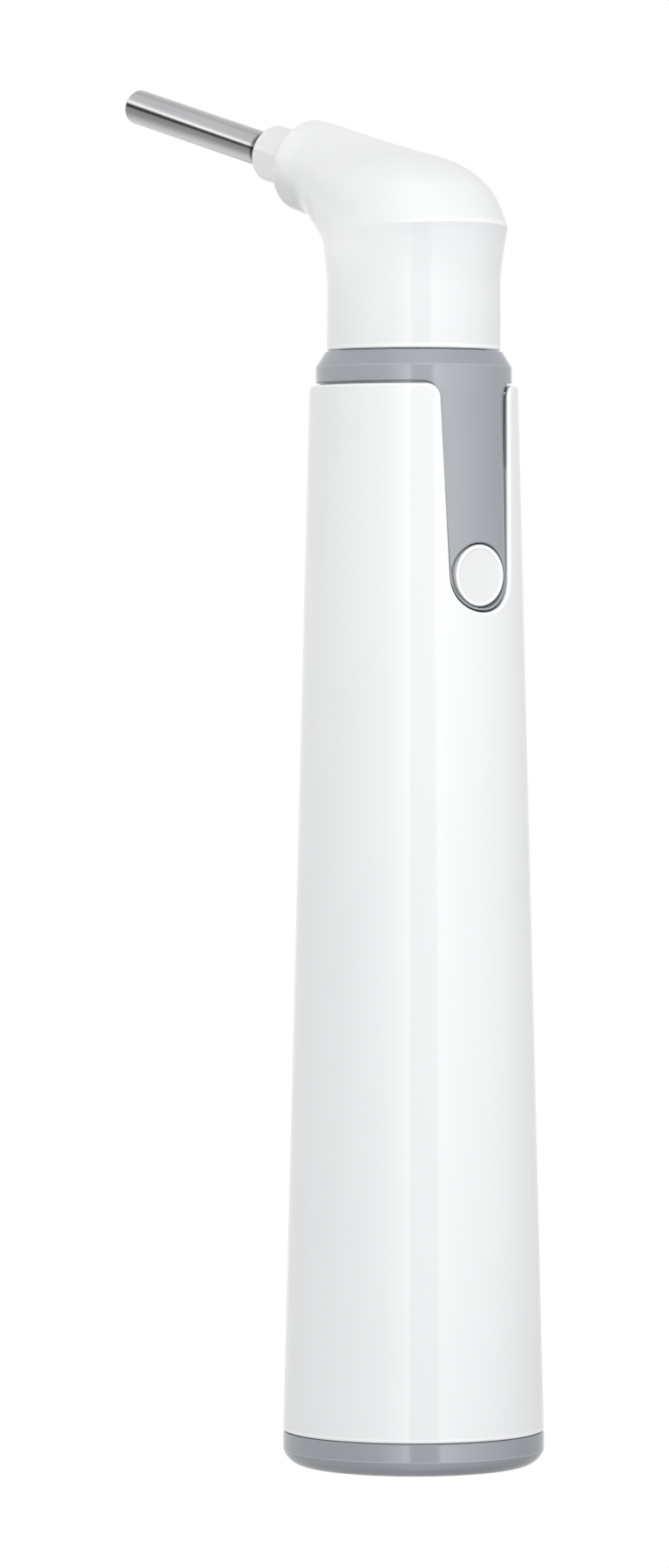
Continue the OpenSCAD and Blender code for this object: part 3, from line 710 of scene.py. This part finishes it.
def make_head():
    so = Soup()
    A = ring_grid(loft_rings(0, CREASE, 12))
    B = ring_grid(loft_rings(CREASE, len(SECTIONS) - 1, 12))
    turn = np.cos(np.linspace(0, 2 * math.pi, A.shape[1]))
    painted_highlight = np.clip((turn - 0.5) / 0.35, 0, 1)
    shade = np.clip((turn - 0.34) / 0.5, 0, 1)

    def painted_light_and_shade(G):
        """Painted light and shade: paler in the fold between nose and neck and along the top, and painted shade under
        the nose.
        """
        x, y, z = G[..., 0], np.abs(G[..., 1]), G[..., 2]
        pale = 0.9 * np.exp(-((x + 1.5) / 5.0) ** 2 - ((z - 148.8) / 4.2) ** 2) + 0.2 * np.exp(-((x + 6.0) / 3.0) ** 2 - ((z - 153.2) / 2.6) ** 2)
        d = z - NOSE_Z + 0.268 * np.minimum(x, 0)
        top = 0.5 * np.clip((d + 0.5) / 2, 0, 1) * (0.5 + 0.5 * np.clip(-x / 8, 0, 1))
        low = np.clip((-0.8 - d) / 2.2, 0, 1) * np.clip((-6.0 - x) / 3.5, 0, 1)
        return np.minimum(pale, 1.0) * (y > 4) + top - 0.25 * low

    # painted shade: the neck darkens towards the hood's overhanging edge, mostly at the back
    climb = np.clip((A[..., 2] - A[-1][None, :, 2] + 5.5) / 5.5, 0, 1)
    eA = painted_light_and_shade(A) - shade[None, :] * (0.075 + 0.125 * climb * climb)
    eB = painted_light_and_shade(B)
    # painted highlight along the hood's edge at the back, fading towards the nose
    eB[0] = np.maximum(eB[0], 0.85 * painted_highlight)
    eB[1] = np.maximum(eB[1], 0.2 * painted_highlight)
    eA[-1] = np.maximum(eA[-1], 0)
    so.grid(A, grid_normals(A, A[:, :-1].mean(1)), e=eA)
    so.grid(B, grid_normals(B, B[:, :-1].mean(1)), e=eB)
    # lower lip, with a painted highlight on its rounding
    a = np.radians(np.linspace(-90, 0, 8))
    e = 0.3
    lathe(so, [(np.stack([NECK_R - e + e * np.cos(a), SEAM_TOP + e + e * np.sin(a)], 1), np.stack([np.cos(a), np.sin(a)], 1), np.linspace(0.5, 1, 8)),
               strip((0, SEAM_TOP), (NECK_R - e, SEAM_TOP))], 112)
    # rounded front of the nose
    e = 0.8
    b = np.radians(np.linspace(0, 90, 11))
    P = (np.stack([5.8 - e + e * np.cos(b), 20.6 + e * np.sin(b)], 1), np.stack([np.cos(b), np.sin(b)], 1))
    lathe(so, [P, strip((5.8 - e, 21.4), (0, 21.4))], 112, "nose")
    skin = so.build("head_skin")
    known = np.concatenate(so.v); knorm = np.concatenate(so.n)
    knorm /= np.linalg.norm(knorm, axis=1, keepdims=True)
    cutters = []
    for name, prof, axis in (
            ("cut_well", [(0, 135.0), (9, 135.0), (9, 149.9), (7, 154.4), (0, 154.4)], "z"),
            ("cut_deep", [(0, -4.2), (4.72, -4.2), (4.72, 7.0), (0, 7.0)], "nose"),
            ("cut_bore", [(0, 6.5), (4.33, 6.5), (4.33, 20.45), (0, 20.45)], "nose"),
            ("cut_mouth", [(0, 18.0), (3.72, 18.0), (3.72, 24.0), (0, 24.0)], "nose")):
        c = Soup()
        lathe(c, [strip(p, q) for p, q in zip(prof, prof[1:])], 72, axis)
        cutters.append(c.build(name))
    for c in cutters:
        m = skin.modifiers.new(c.name, "BOOLEAN")
        m.operation = "DIFFERENCE"; m.solver = "EXACT"; m.object = c
    dg = bpy.context.evaluated_depsgraph_get()
    me = bpy.data.meshes.new_from_object(skin.evaluated_get(dg))
    skin.modifiers.clear()
    old = skin.data
    skin.data = me
    bpy.data.meshes.remove(old)
    for c in cutters:
        m = c.data
        bpy.data.objects.remove(c); bpy.data.meshes.remove(m)
    # exact normals again on the outside, face normals inside
    key = {}
    for p, n in zip(known, knorm):
        key.setdefault(tuple(np.round(p * 500).astype(int)), []).append(n)
    me.polygons.foreach_set("use_smooth", [True] * len(me.polygons))
    out = [None] * len(me.loops)
    co = np.array([v.co for v in me.vertices]) * 1000
    cells = np.round(co * 500).astype(int)
    cand = []
    for c in cells:
        got = []
        for dx in (-1, 0, 1):
            for dy in (-1, 0, 1):
                for dz in (-1, 0, 1):
                    got += key.get((c[0] + dx, c[1] + dy, c[2] + dz), [])
        cand.append(np.array(got) if got else None)
    for p in me.polygons:
        fn = np.array(p.normal)
        for li in p.loop_indices:
            got = cand[me.loops[li].vertex_index]
            n = fn
            if got is not None:
                d = got @ fn
                if d.max() > 0.75:
                    n = got[int(d.argmax())]
            out[li] = tuple(float(x) for x in n)
    me.normals_split_custom_set(out)
    me.update()
    return skin


# ---------------------------------------------------------------- materials
def material(name, a, b, rough, metallic=0.0, tint=30.0, grain=2500.0, height=1.5e-6, ior=1.5, along=None, clear=0.0,
             pattern=None, detail=4.0, coat=0.0, coat_rough=0.1, painted_highlight=None, painted_shade=None):
    """Procedural finish: colour drifts between a and b, roughness between two values, and fine relief."""
    m = bpy.data.materials.new(name)
    m.use_nodes = True
    nt = m.node_tree
    N, L = nt.nodes, nt.links
    bsdf = next(n for n in N if n.type == "BSDF_PRINCIPLED")
    tc = N.new("ShaderNodeTexCoord")
    src = tc.outputs["Object"]
    if along is not None:
        turn = N.new("ShaderNodeMapping"); turn.inputs["Rotation"].default_value = (0, along[0], 0)
        L.new(src, turn.inputs["Vector"])
        pull = N.new("ShaderNodeMapping"); pull.inputs["Scale"].default_value = along[1]
        L.new(turn.outputs["Vector"], pull.inputs["Vector"])
        fine = pull.outputs["Vector"]
    else:
        fine = src

    def noise(vec, scale, det=detail, rgh=0.55):
        n = N.new("ShaderNodeTexNoise")
        n.inputs["Scale"].default_value = scale
        n.inputs["Detail"].default_value = det
        n.inputs["Roughness"].default_value = rgh
        L.new(vec, n.inputs["Vector"])
        return n.outputs["Fac"]

    def span(fac, lo, hi, f0=0.3, f1=0.7):
        r = N.new("ShaderNodeMapRange")
        r.inputs["From Min"].default_value = f0; r.inputs["From Max"].default_value = f1
        r.inputs["To Min"].default_value = lo; r.inputs["To Max"].default_value = hi
        L.new(fac, r.inputs["Value"])
        return r.outputs["Result"]

    mix = N.new("ShaderNodeMix"); mix.data_type = "RGBA"
    rgba = [s for s in mix.inputs if s.type == "RGBA"]
    rgba[0].default_value = (*a, 1); rgba[1].default_value = (*b, 1)
    fac = next(s for s in mix.inputs if s.name == "Factor" and s.type == "VALUE")
    relief = noise(fine, grain)
    if pattern is None:
        L.new(span(noise(src, tint), 0, 1), fac)
    else:
        L.new(pattern(N, L, src, span), fac)
    colour = next(s for s in mix.outputs if s.type == "RGBA")
    # painted highlight: a positive edge value mixes in the lighter colour
    if painted_highlight is not None:
        at = N.new("ShaderNodeAttribute"); at.attribute_name = "edge"
        over = N.new("ShaderNodeMix"); over.data_type = "RGBA"
        oc = [s for s in over.inputs if s.type == "RGBA"]
        oc[1].default_value = (*painted_highlight, 1)
        L.new(colour, oc[0])
        L.new(at.outputs["Fac"], next(s for s in over.inputs if s.name == "Factor" and s.type == "VALUE"))
        colour = next(s for s in over.outputs if s.type == "RGBA")
    # painted shade: a negative edge value mixes in the darker colour
    if painted_shade is not None:
        at = N.new("ShaderNodeAttribute"); at.attribute_name = "edge"
        low = N.new("ShaderNodeMapRange")
        low.inputs["From Min"].default_value = 0.0; low.inputs["From Max"].default_value = -1.0
        L.new(at.outputs["Fac"], low.inputs["Value"])
        under = N.new("ShaderNodeMix"); under.data_type = "RGBA"
        oc = [s for s in under.inputs if s.type == "RGBA"]
        oc[1].default_value = (*painted_shade, 1)
        L.new(colour, oc[0])
        L.new(low.outputs["Result"], next(s for s in under.inputs if s.name == "Factor" and s.type == "VALUE"))
        colour = next(s for s in under.outputs if s.type == "RGBA")
    L.new(colour, bsdf.inputs["Base Color"])
    L.new(span(noise(fine if along is not None else src, grain * 0.21), rough[0], rough[1]), bsdf.inputs["Roughness"])
    bump = N.new("ShaderNodeBump")
    bump.inputs["Strength"].default_value = 1.0
    bump.inputs["Distance"].default_value = height
    L.new(relief, bump.inputs["Height"])
    L.new(bump.outputs["Normal"], bsdf.inputs["Normal"])
    bsdf.inputs["Metallic"].default_value = metallic
    bsdf.inputs["IOR"].default_value = ior
    if clear:
        bsdf.inputs["Transmission Weight"].default_value = clear
    if coat:
        bsdf.inputs["Coat Weight"].default_value = coat
        bsdf.inputs["Coat Roughness"].default_value = coat_rough
    return m


def traces(N, L, src, span):
    b = N.new("ShaderNodeTexBrick")
    b.inputs["Scale"].default_value = 420.0
    b.inputs["Mortar Size"].default_value = 0.06
    b.inputs["Color1"].default_value = (0, 0, 0, 1); b.inputs["Color2"].default_value = (0.25, 0.25, 0.25, 1)
    b.inputs["Mortar"].default_value = (1, 1, 1, 1)
    mp = N.new("ShaderNodeMapping"); mp.inputs["Rotation"].default_value = (math.pi / 2, 0, math.pi / 2)
    L.new(src, mp.inputs["Vector"]); L.new(mp.outputs["Vector"], b.inputs["Vector"])
    return b.outputs["Color"]


def fibres(N, L, src, span):
    v = N.new("ShaderNodeTexVoronoi")
    v.inputs["Scale"].default_value = 9000.0
    mp = N.new("ShaderNodeMapping"); mp.inputs["Rotation"].default_value = (0, -math.asin(NOSE_AX[2]), 0)
    sq = N.new("ShaderNodeMapping"); sq.inputs["Scale"].default_value = (0.02, 1, 1)
    L.new(src, mp.inputs["Vector"]); L.new(mp.outputs["Vector"], sq.inputs["Vector"]); L.new(sq.outputs["Vector"], v.inputs["Vector"])
    return span(v.outputs["Distance"], 0, 1, 0.1, 0.6)


def rings(N, L, src, span):
    w = N.new("ShaderNodeTexWave"); w.wave_type = "RINGS"; w.rings_direction = "Z"
    w.inputs["Scale"].default_value = 900.0; w.inputs["Distortion"].default_value = 0.6
    L.new(src, w.inputs["Vector"])
    return w.outputs["Fac"]


TURN = -math.asin(NOSE_AX[2])
# dark grey for painted shade in gaps and under the hood
PAINTED_SHADE_GREY = (0.30, 0.31, 0.33)
FINISH = {
    "shell_white": dict(a=(0.842, 0.853, 0.860), b=(0.867, 0.877, 0.883), rough=(0.045, 0.075), tint=22, grain=620, height=0.6e-6, ior=1.53, painted_highlight=(0.96, 0.965, 0.968), painted_shade=PAINTED_SHADE_GREY),
    "button_white": dict(a=(0.800, 0.808, 0.814), b=(0.830, 0.837, 0.842), rough=(0.10, 0.16), tint=60, grain=900, height=0.8e-6, ior=1.53, painted_highlight=(0.96, 0.965, 0.968), painted_shade=PAINTED_SHADE_GREY),
    "ferrule_white": dict(a=(0.835, 0.838, 0.836), b=(0.865, 0.868, 0.866), rough=(0.08, 0.13), tint=70, grain=800, height=0.8e-6, ior=1.53),
    "collar_grey": dict(a=(0.308, 0.328, 0.358), b=(0.332, 0.352, 0.383), rough=(0.10, 0.15), tint=40, grain=2600, height=0.8e-6, ior=1.78, painted_highlight=(0.37, 0.39, 0.425), painted_shade=(0.10, 0.105, 0.115)),
    "cap_grey": dict(a=(0.283, 0.302, 0.330), b=(0.306, 0.325, 0.355), rough=(0.09, 0.14), tint=40, grain=2600, height=0.8e-6, ior=1.85, painted_highlight=(0.48, 0.50, 0.54)),
    "frame_black": dict(a=(0.030, 0.030, 0.033), b=(0.055, 0.055, 0.060), rough=(0.42, 0.62), tint=260, grain=5200, height=4e-6),
    "insulator": dict(a=(0.62, 0.61, 0.56), b=(0.70, 0.69, 0.64), rough=(0.40, 0.55), tint=120, grain=4200, height=3e-6),
    "component_black": dict(a=(0.018, 0.018, 0.020), b=(0.040, 0.040, 0.044), rough=(0.35, 0.55), tint=700, grain=7000, height=3e-6),
    "plunger": dict(a=(0.46, 0.045, 0.030), b=(0.56, 0.065, 0.042), rough=(0.30, 0.42), tint=500, grain=5000, height=2e-6),
    "ferrite": dict(a=(0.055, 0.054, 0.055), b=(0.105, 0.100, 0.098), rough=(0.55, 0.75), tint=1800, grain=9000, height=8e-6),
    "board": dict(a=(0.008, 0.075, 0.030), b=(0.030, 0.150, 0.062), rough=(0.22, 0.34), tint=300, grain=3000, height=6e-6, pattern=traces),
    "led_board": dict(a=(0.74, 0.74, 0.72), b=(0.82, 0.82, 0.80), rough=(0.35, 0.5), tint=900, grain=6000, height=2e-6),
    "led_ceramic": dict(a=(0.74, 0.62, 0.18), b=(0.82, 0.72, 0.28), rough=(0.35, 0.5), tint=1500, grain=9000, height=3e-6),
    "lens_clear": dict(a=(0.90, 0.95, 0.97), b=(0.95, 0.98, 0.99), rough=(0.01, 0.03), tint=200, grain=1200, height=2e-7, ior=1.49, clear=1.0),
    "guide_glass": dict(a=(0.70, 0.80, 0.84), b=(0.90, 0.95, 0.97), rough=(0.02, 0.05), tint=400, grain=2500, height=3e-7, ior=1.56, clear=0.9, pattern=fibres),
    "guide_steel": dict(a=(0.495, 0.499, 0.508), b=(0.550, 0.554, 0.563), rough=(0.11, 0.19), metallic=1.0, tint=90, grain=1.0, height=6e-7,
                        along=(TURN, (90.0, 9000.0, 9000.0)), ior=2.5, painted_shade=(0.05, 0.05, 0.052)),
    "steel_small": dict(a=(0.55, 0.55, 0.56), b=(0.66, 0.66, 0.67), rough=(0.18, 0.34), metallic=1.0, tint=700, grain=6000, height=2e-6),
    "spring_steel": dict(a=(0.50, 0.50, 0.51), b=(0.66, 0.66, 0.67), rough=(0.16, 0.30), metallic=1.0, tint=900, grain=6500, height=2e-6),
    "nickel_strip": dict(a=(0.58, 0.57, 0.54), b=(0.68, 0.67, 0.63), rough=(0.22, 0.36), metallic=1.0, tint=500, grain=5000, height=2e-6),
    "gold_contact": dict(a=(0.78, 0.56, 0.20), b=(0.88, 0.68, 0.30), rough=(0.14, 0.28), metallic=1.0, tint=800, grain=6000, height=1.5e-6),
    "socket_brass": dict(a=(0.58, 0.53, 0.40), b=(0.68, 0.63, 0.50), rough=(0.20, 0.32), metallic=1.0, tint=500, grain=5000, height=1.5e-6),
    "sink_aluminium": dict(a=(0.66, 0.67, 0.68), b=(0.78, 0.79, 0.80), rough=(0.24, 0.38), metallic=1.0, tint=300, grain=4500, height=2e-6, pattern=rings),
    "cell_wrap": dict(a=(0.022, 0.110, 0.330), b=(0.034, 0.150, 0.410), rough=(0.16, 0.28), tint=130, grain=420, height=1.2e-5),
    "seal_rubber": dict(a=(0.014, 0.014, 0.015), b=(0.030, 0.030, 0.031), rough=(0.48, 0.66), tint=600, grain=5200, height=4e-6),
    "lead_sleeve": dict(a=(0.42, 0.025, 0.018), b=(0.54, 0.045, 0.030), rough=(0.30, 0.44), tint=500, grain=4200, height=2e-6),
}
MATS = {k: material(k, **v) for k, v in FINISH.items()}
NODE_SLOT = {p["node"]: p["material_slot"] for p in REC["subparts"]}


def dress(o, slot_name):
    o.data.materials.clear()
    o.data.materials.append(MATS[slot_name])
    return o


for node_name, ob in frame["nodes"].items():
    dress(ob, NODE_SLOT[node_name])

for maker, node_name, body in ((make_shell, "body_shell", "handle"), (make_collar, "collar_panel", "handle"),
                               (make_button, "power_button", "button"), (make_head, "head_shell", "head"),
                               (make_ferrule, "guide_ferrule", "light_guide"), (make_jacket, "guide_jacket", "light_guide"),
                               (make_core, "guide_core", "light_guide"), (make_cap, "base_cap", "foot_cap")):
    piece = maker()
    dress(piece, NODE_SLOT[node_name])
    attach(piece, body)
    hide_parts(node_name)

# ---------------------------------------------------------------- camera at the photograph's angle
AZ = math.radians(50.0)
BACK = Vector((math.sin(AZ), -math.cos(AZ), 0.0))
RIGHT = Vector((math.cos(AZ), math.sin(AZ), 0.0))
cam_data = bpy.data.cameras.new("camera")
cam = bpy.data.objects.new("camera", cam_data)
bpy.context.scene.collection.objects.link(cam)
cam_data.sensor_fit = "VERTICAL"
cam_data.sensor_height = 36.0
cam_data.lens = 163.1
cam_data.clip_start = 0.01
cam_data.dof.use_dof = False
cam.location = BACK * 0.870 + Vector((0, 0, 0.1011))
aim = RIGHT * -0.00970 + Vector((0, 0, 0.08344))
cam.rotation_euler = (aim - cam.location).to_track_quat("-Z", "Y").to_euler()
bpy.context.scene.camera = cam

# ---------------------------------------------------------------- pale floor and soft studio light
scene = bpy.context.scene
scene.view_settings.view_transform = "Standard"
scene.view_settings.look = "None"
scene.view_settings.exposure = 0.0
scene.view_settings.gamma = 1.0


def pale(nt, shown, real):
    """White to the camera, and a plain grey to everything that it lights."""
    N, L = nt.nodes, nt.links
    lp = N.new("ShaderNodeLightPath")
    mixer = N.new("ShaderNodeMixShader")
    L.new(lp.outputs["Is Camera Ray"], mixer.inputs["Fac"])
    L.new(real.outputs[0], mixer.inputs[1]); L.new(shown.outputs[0], mixer.inputs[2])
    out = next(n for n in N if n.type in ("OUTPUT_WORLD", "OUTPUT_MATERIAL"))
    L.new(mixer.outputs[0], out.inputs["Surface"])


world = bpy.data.worlds.new("studio")
scene.world = world
world.use_nodes = True
wn = world.node_tree.nodes
grey = next(n for n in wn if n.type == "BACKGROUND")
grey.inputs["Strength"].default_value = 1.0


def ramp(nt, stops):
    r = nt.nodes.new("ShaderNodeValToRGB")
    e = r.color_ramp.elements
    while len(e) > 1:
        e.remove(e[-1])
    for i, (p, v) in enumerate(stops):
        el = e[0] if i == 0 else e.new(p)
        el.position = p
        v = v if isinstance(v, tuple) else (v, v, v)
        el.color = (*v, 1)
    return r


def studio_light(nt):
    """Soft light as a function of direction: two diffusers beside the camera with a gap between them, in an even room."""
    N, L = nt.nodes, nt.links
    tc = N.new("ShaderNodeTexCoord")

    def dot(v):
        d = N.new("ShaderNodeVectorMath"); d.operation = "DOT_PRODUCT"
        d.inputs[1].default_value = v
        L.new(tc.outputs["Generated"], d.inputs[0])
        return d.outputs["Value"]

    def maths(op, a, b=None, clamp=False):
        m = N.new("ShaderNodeMath"); m.operation = op; m.use_clamp = clamp
        for i, v in enumerate((a, b)):
            if v is None:
                continue
            if isinstance(v, (int, float)):
                m.inputs[i].default_value = v
            else:
                L.new(v, m.inputs[i])
        return m.outputs[0]

    turn = maths("ARCTAN2", dot(tuple(RIGHT)), dot(tuple(BACK)))
    az = maths("MULTIPLY_ADD", turn, 1 / (2 * math.pi))
    az.node.inputs[2].default_value = 0.5
    up = maths("MULTIPLY_ADD", dot((0, 0, 1)), 0.5)
    up.node.inputs[2].default_value = 0.5

    def at(deg):
        return (deg + 180) / 360

    def high(deg):
        return 0.5 + 0.5 * math.sin(math.radians(deg))

    level = ramp(nt, [(at(d), v) for d, v in LEVEL])
    L.new(az, level.inputs["Fac"])
    room = ramp(nt, [(at(d), v) for d, v in ROOM])
    L.new(az, room.inputs["Fac"])
    away = ramp(nt, [(high(-20), 1.0), (high(-11), 0.0), (high(7), 0.0), (high(13), 1.0)])
    L.new(up, away.inputs["Fac"])
    wide = N.new("ShaderNodeMix"); wide.data_type = "RGBA"
    wc = [s for s in wide.inputs if s.type == "RGBA"]
    L.new(away.outputs["Color"], next(s for s in wide.inputs if s.name == "Factor" and s.type == "VALUE"))
    L.new(level.outputs["Color"], wc[0]); L.new(room.outputs["Color"], wc[1])
    lift = ramp(nt, [(high(d), v) for d, v in LIFT])
    L.new(up, lift.inputs["Fac"])
    both = N.new("ShaderNodeMix"); both.data_type = "RGBA"; both.blend_type = "MULTIPLY"
    both.inputs[0].default_value = 1.0
    c = [s for s in both.inputs if s.type == "RGBA"]
    L.new(next(s for s in wide.outputs if s.type == "RGBA"), c[0]); L.new(lift.outputs["Color"], c[1])
    return [s for s in both.outputs if s.type == "RGBA"][0]


GAP_L = 1.15
LEVEL = [(-180, 1.12), (-155, 1.02), (-130, 0.95), (-90, 0.93), (-60, 0.90), (-30, 1.12), (-12, 2.05), (-4.0, 2.85), (-2.9, GAP_L),
         (22.0, GAP_L), (23.2, 2.75), (40, 2.10), (60, 1.65), (85, 1.10), (115, 0.66), (150, 0.76), (180, 1.12)]
ROOM = [(-180, 0.96), (-130, 0.86), (-90, 0.86), (-60, 0.93), (-30, 1.15), (0, 1.37), (30, 1.42), (60, 1.22), (90, 0.90), (120, 0.62), (150, 0.72), (180, 0.96)]
LIFT = [(-90, 0.74), (-30, 0.76), (-10, 0.84), (0, 0.95), (5, 0.97), (35, 0.90), (60, 0.75), (90, 0.69)]
world.node_tree.links.new(studio_light(world.node_tree), grey.inputs["Color"])
white = wn.new("ShaderNodeBackground")
white.inputs["Color"].default_value = (1, 1, 1, 1)
white.inputs["Strength"].default_value = 1.0
pale(world.node_tree, white, grey)

floor_mesh = bpy.data.meshes.new("floor")
ring = [(0.42 * math.cos(2 * math.pi * k / 96), 0.42 * math.sin(2 * math.pi * k / 96), -0.0004) for k in range(96)]
floor_mesh.from_pydata(ring, [], [list(range(96))])
floor = bpy.data.objects.new("floor", floor_mesh)
scene.collection.objects.link(floor)
floor.visible_glossy = False
fm = bpy.data.materials.new("floor_paper")
fm.use_nodes = True
fb = next(n for n in fm.node_tree.nodes if n.type == "BSDF_PRINCIPLED")
fb.inputs["Roughness"].default_value = 0.9
fb.inputs["Base Color"].default_value = (0.80, 0.81, 0.82, 1)
fe = fm.node_tree.nodes.new("ShaderNodeEmission")
fe.inputs["Color"].default_value = (1, 1, 1, 1)
fe.inputs["Strength"].default_value = 1.0
pale(fm.node_tree, fe, fb)
floor_mesh.materials.append(fm)


def panel(name, psi, height, dist, width, tall, radiance, tint=(1, 1, 1), target=(0, 0, 0.09), rise=0.0):
    """Soft box at angle psi from the camera, as seen from the object; positive is to the picture's right."""
    d = bpy.data.lights.new(name, "AREA")
    d.shape = "RECTANGLE"
    d.size, d.size_y = width, tall
    d.energy = radiance * math.pi * width * tall
    d.color = tint
    o = bpy.data.objects.new(name, d)
    scene.collection.objects.link(o)
    p = math.radians(psi)
    o.location = (BACK * math.cos(p) + RIGHT * math.sin(p)) * dist + Vector((0, 0, height))
    look = Vector(target) + Vector((0, 0, rise)) - o.location
    o.rotation_euler = look.to_track_quat("-Z", "Y").to_euler()
    return o


# Strip card beside the light guide: bright band, dark edge and grey under half, seen only in its mirror finish
CARD = [(-60, 1.00), (-45, 0.98), (-37, 0.90), (-29, 0.74), (-22, 0.62), (-16, 0.50), (-10, 0.46), (-3, 0.44), (4, 0.43), (6.5, 0.06),
        (17.0, 0.06), (19.0, 0.60), (22.5, 1.75), (27, 1.85), (31, 1.15), (37, 0.94), (45, 0.90), (60, 0.90), (72, 0.92), (85, 0.92)]
DIST = 0.080
tip_mid = Vector((NOSE_AX * 0.0426)) + Vector((0, 0, NOSE_Z * MM))
out = Vector((-0.780, -0.626, 0.0)).normalized()
perp = Vector((-out.y, out.x, 0.0))
if perp.x > 0:
    perp = -perp
slant = NOSE_AX[2] / abs(Vector(NOSE_AX).dot(perp))
rows = sorted(set(range(-60, 86, 3)) | {d for d, _ in CARD})
cv, cf = [], []
for d in rows:
    t = math.radians(d)
    rad = DIST * (1 - 0.16 * min(1.0, max(0.0, (d - 40) / 45)))
    for u in (-0.019, 0.085):
        cv.append(tuple(tip_mid + out * rad * math.cos(t) + perp * u + Vector((0, 0, rad * math.sin(t) + slant * u))))
for i in range(len(rows) - 1):
    cf.append((2 * i, 2 * i + 1, 2 * i + 3, 2 * i + 2))
cm = bpy.data.meshes.new("strip_card")
cm.from_pydata(cv, [], cf)
att = cm.attributes.new("level", "FLOAT", "POINT")
att.data.foreach_set("value", [float(v) for v in np.repeat(np.interp(rows, [d for d, _ in CARD], [v for _, v in CARD]), 2)])
card = bpy.data.objects.new("strip_card", cm)
scene.collection.objects.link(card)
cmat = bpy.data.materials.new("strip_card_light")
cmat.use_nodes = True
ct = cmat.node_tree
for n_ in list(ct.nodes):
    if n_.type == "BSDF_PRINCIPLED":
        ct.nodes.remove(n_)
em = ct.nodes.new("ShaderNodeEmission")
ca = ct.nodes.new("ShaderNodeAttribute"); ca.attribute_name = "level"
ct.links.new(ca.outputs["Fac"], em.inputs["Strength"])
far = ct.nodes.new("ShaderNodeMath"); far.operation = "GREATER_THAN"; far.inputs[1].default_value = 0.094
ct.links.new(ct.nodes.new("ShaderNodeLightPath").outputs["Ray Length"], far.inputs[0])
mx = ct.nodes.new("ShaderNodeMixShader")
ct.links.new(far.outputs[0], mx.inputs[0])
ct.links.new(em.outputs[0], mx.inputs[1])
ct.links.new(ct.nodes.new("ShaderNodeBsdfTransparent").outputs[0], mx.inputs[2])
ct.links.new(mx.outputs[0], next(n_ for n_ in ct.nodes if n_.type == "OUTPUT_MATERIAL").inputs["Surface"])
cm.materials.append(cmat)
card.visible_camera = False
card.visible_diffuse = False
card.visible_shadow = False
card.visible_transmission = False

panel("softbox_top", 11.0, 0.95, 0.55, 0.9, 0.7, 0.18)
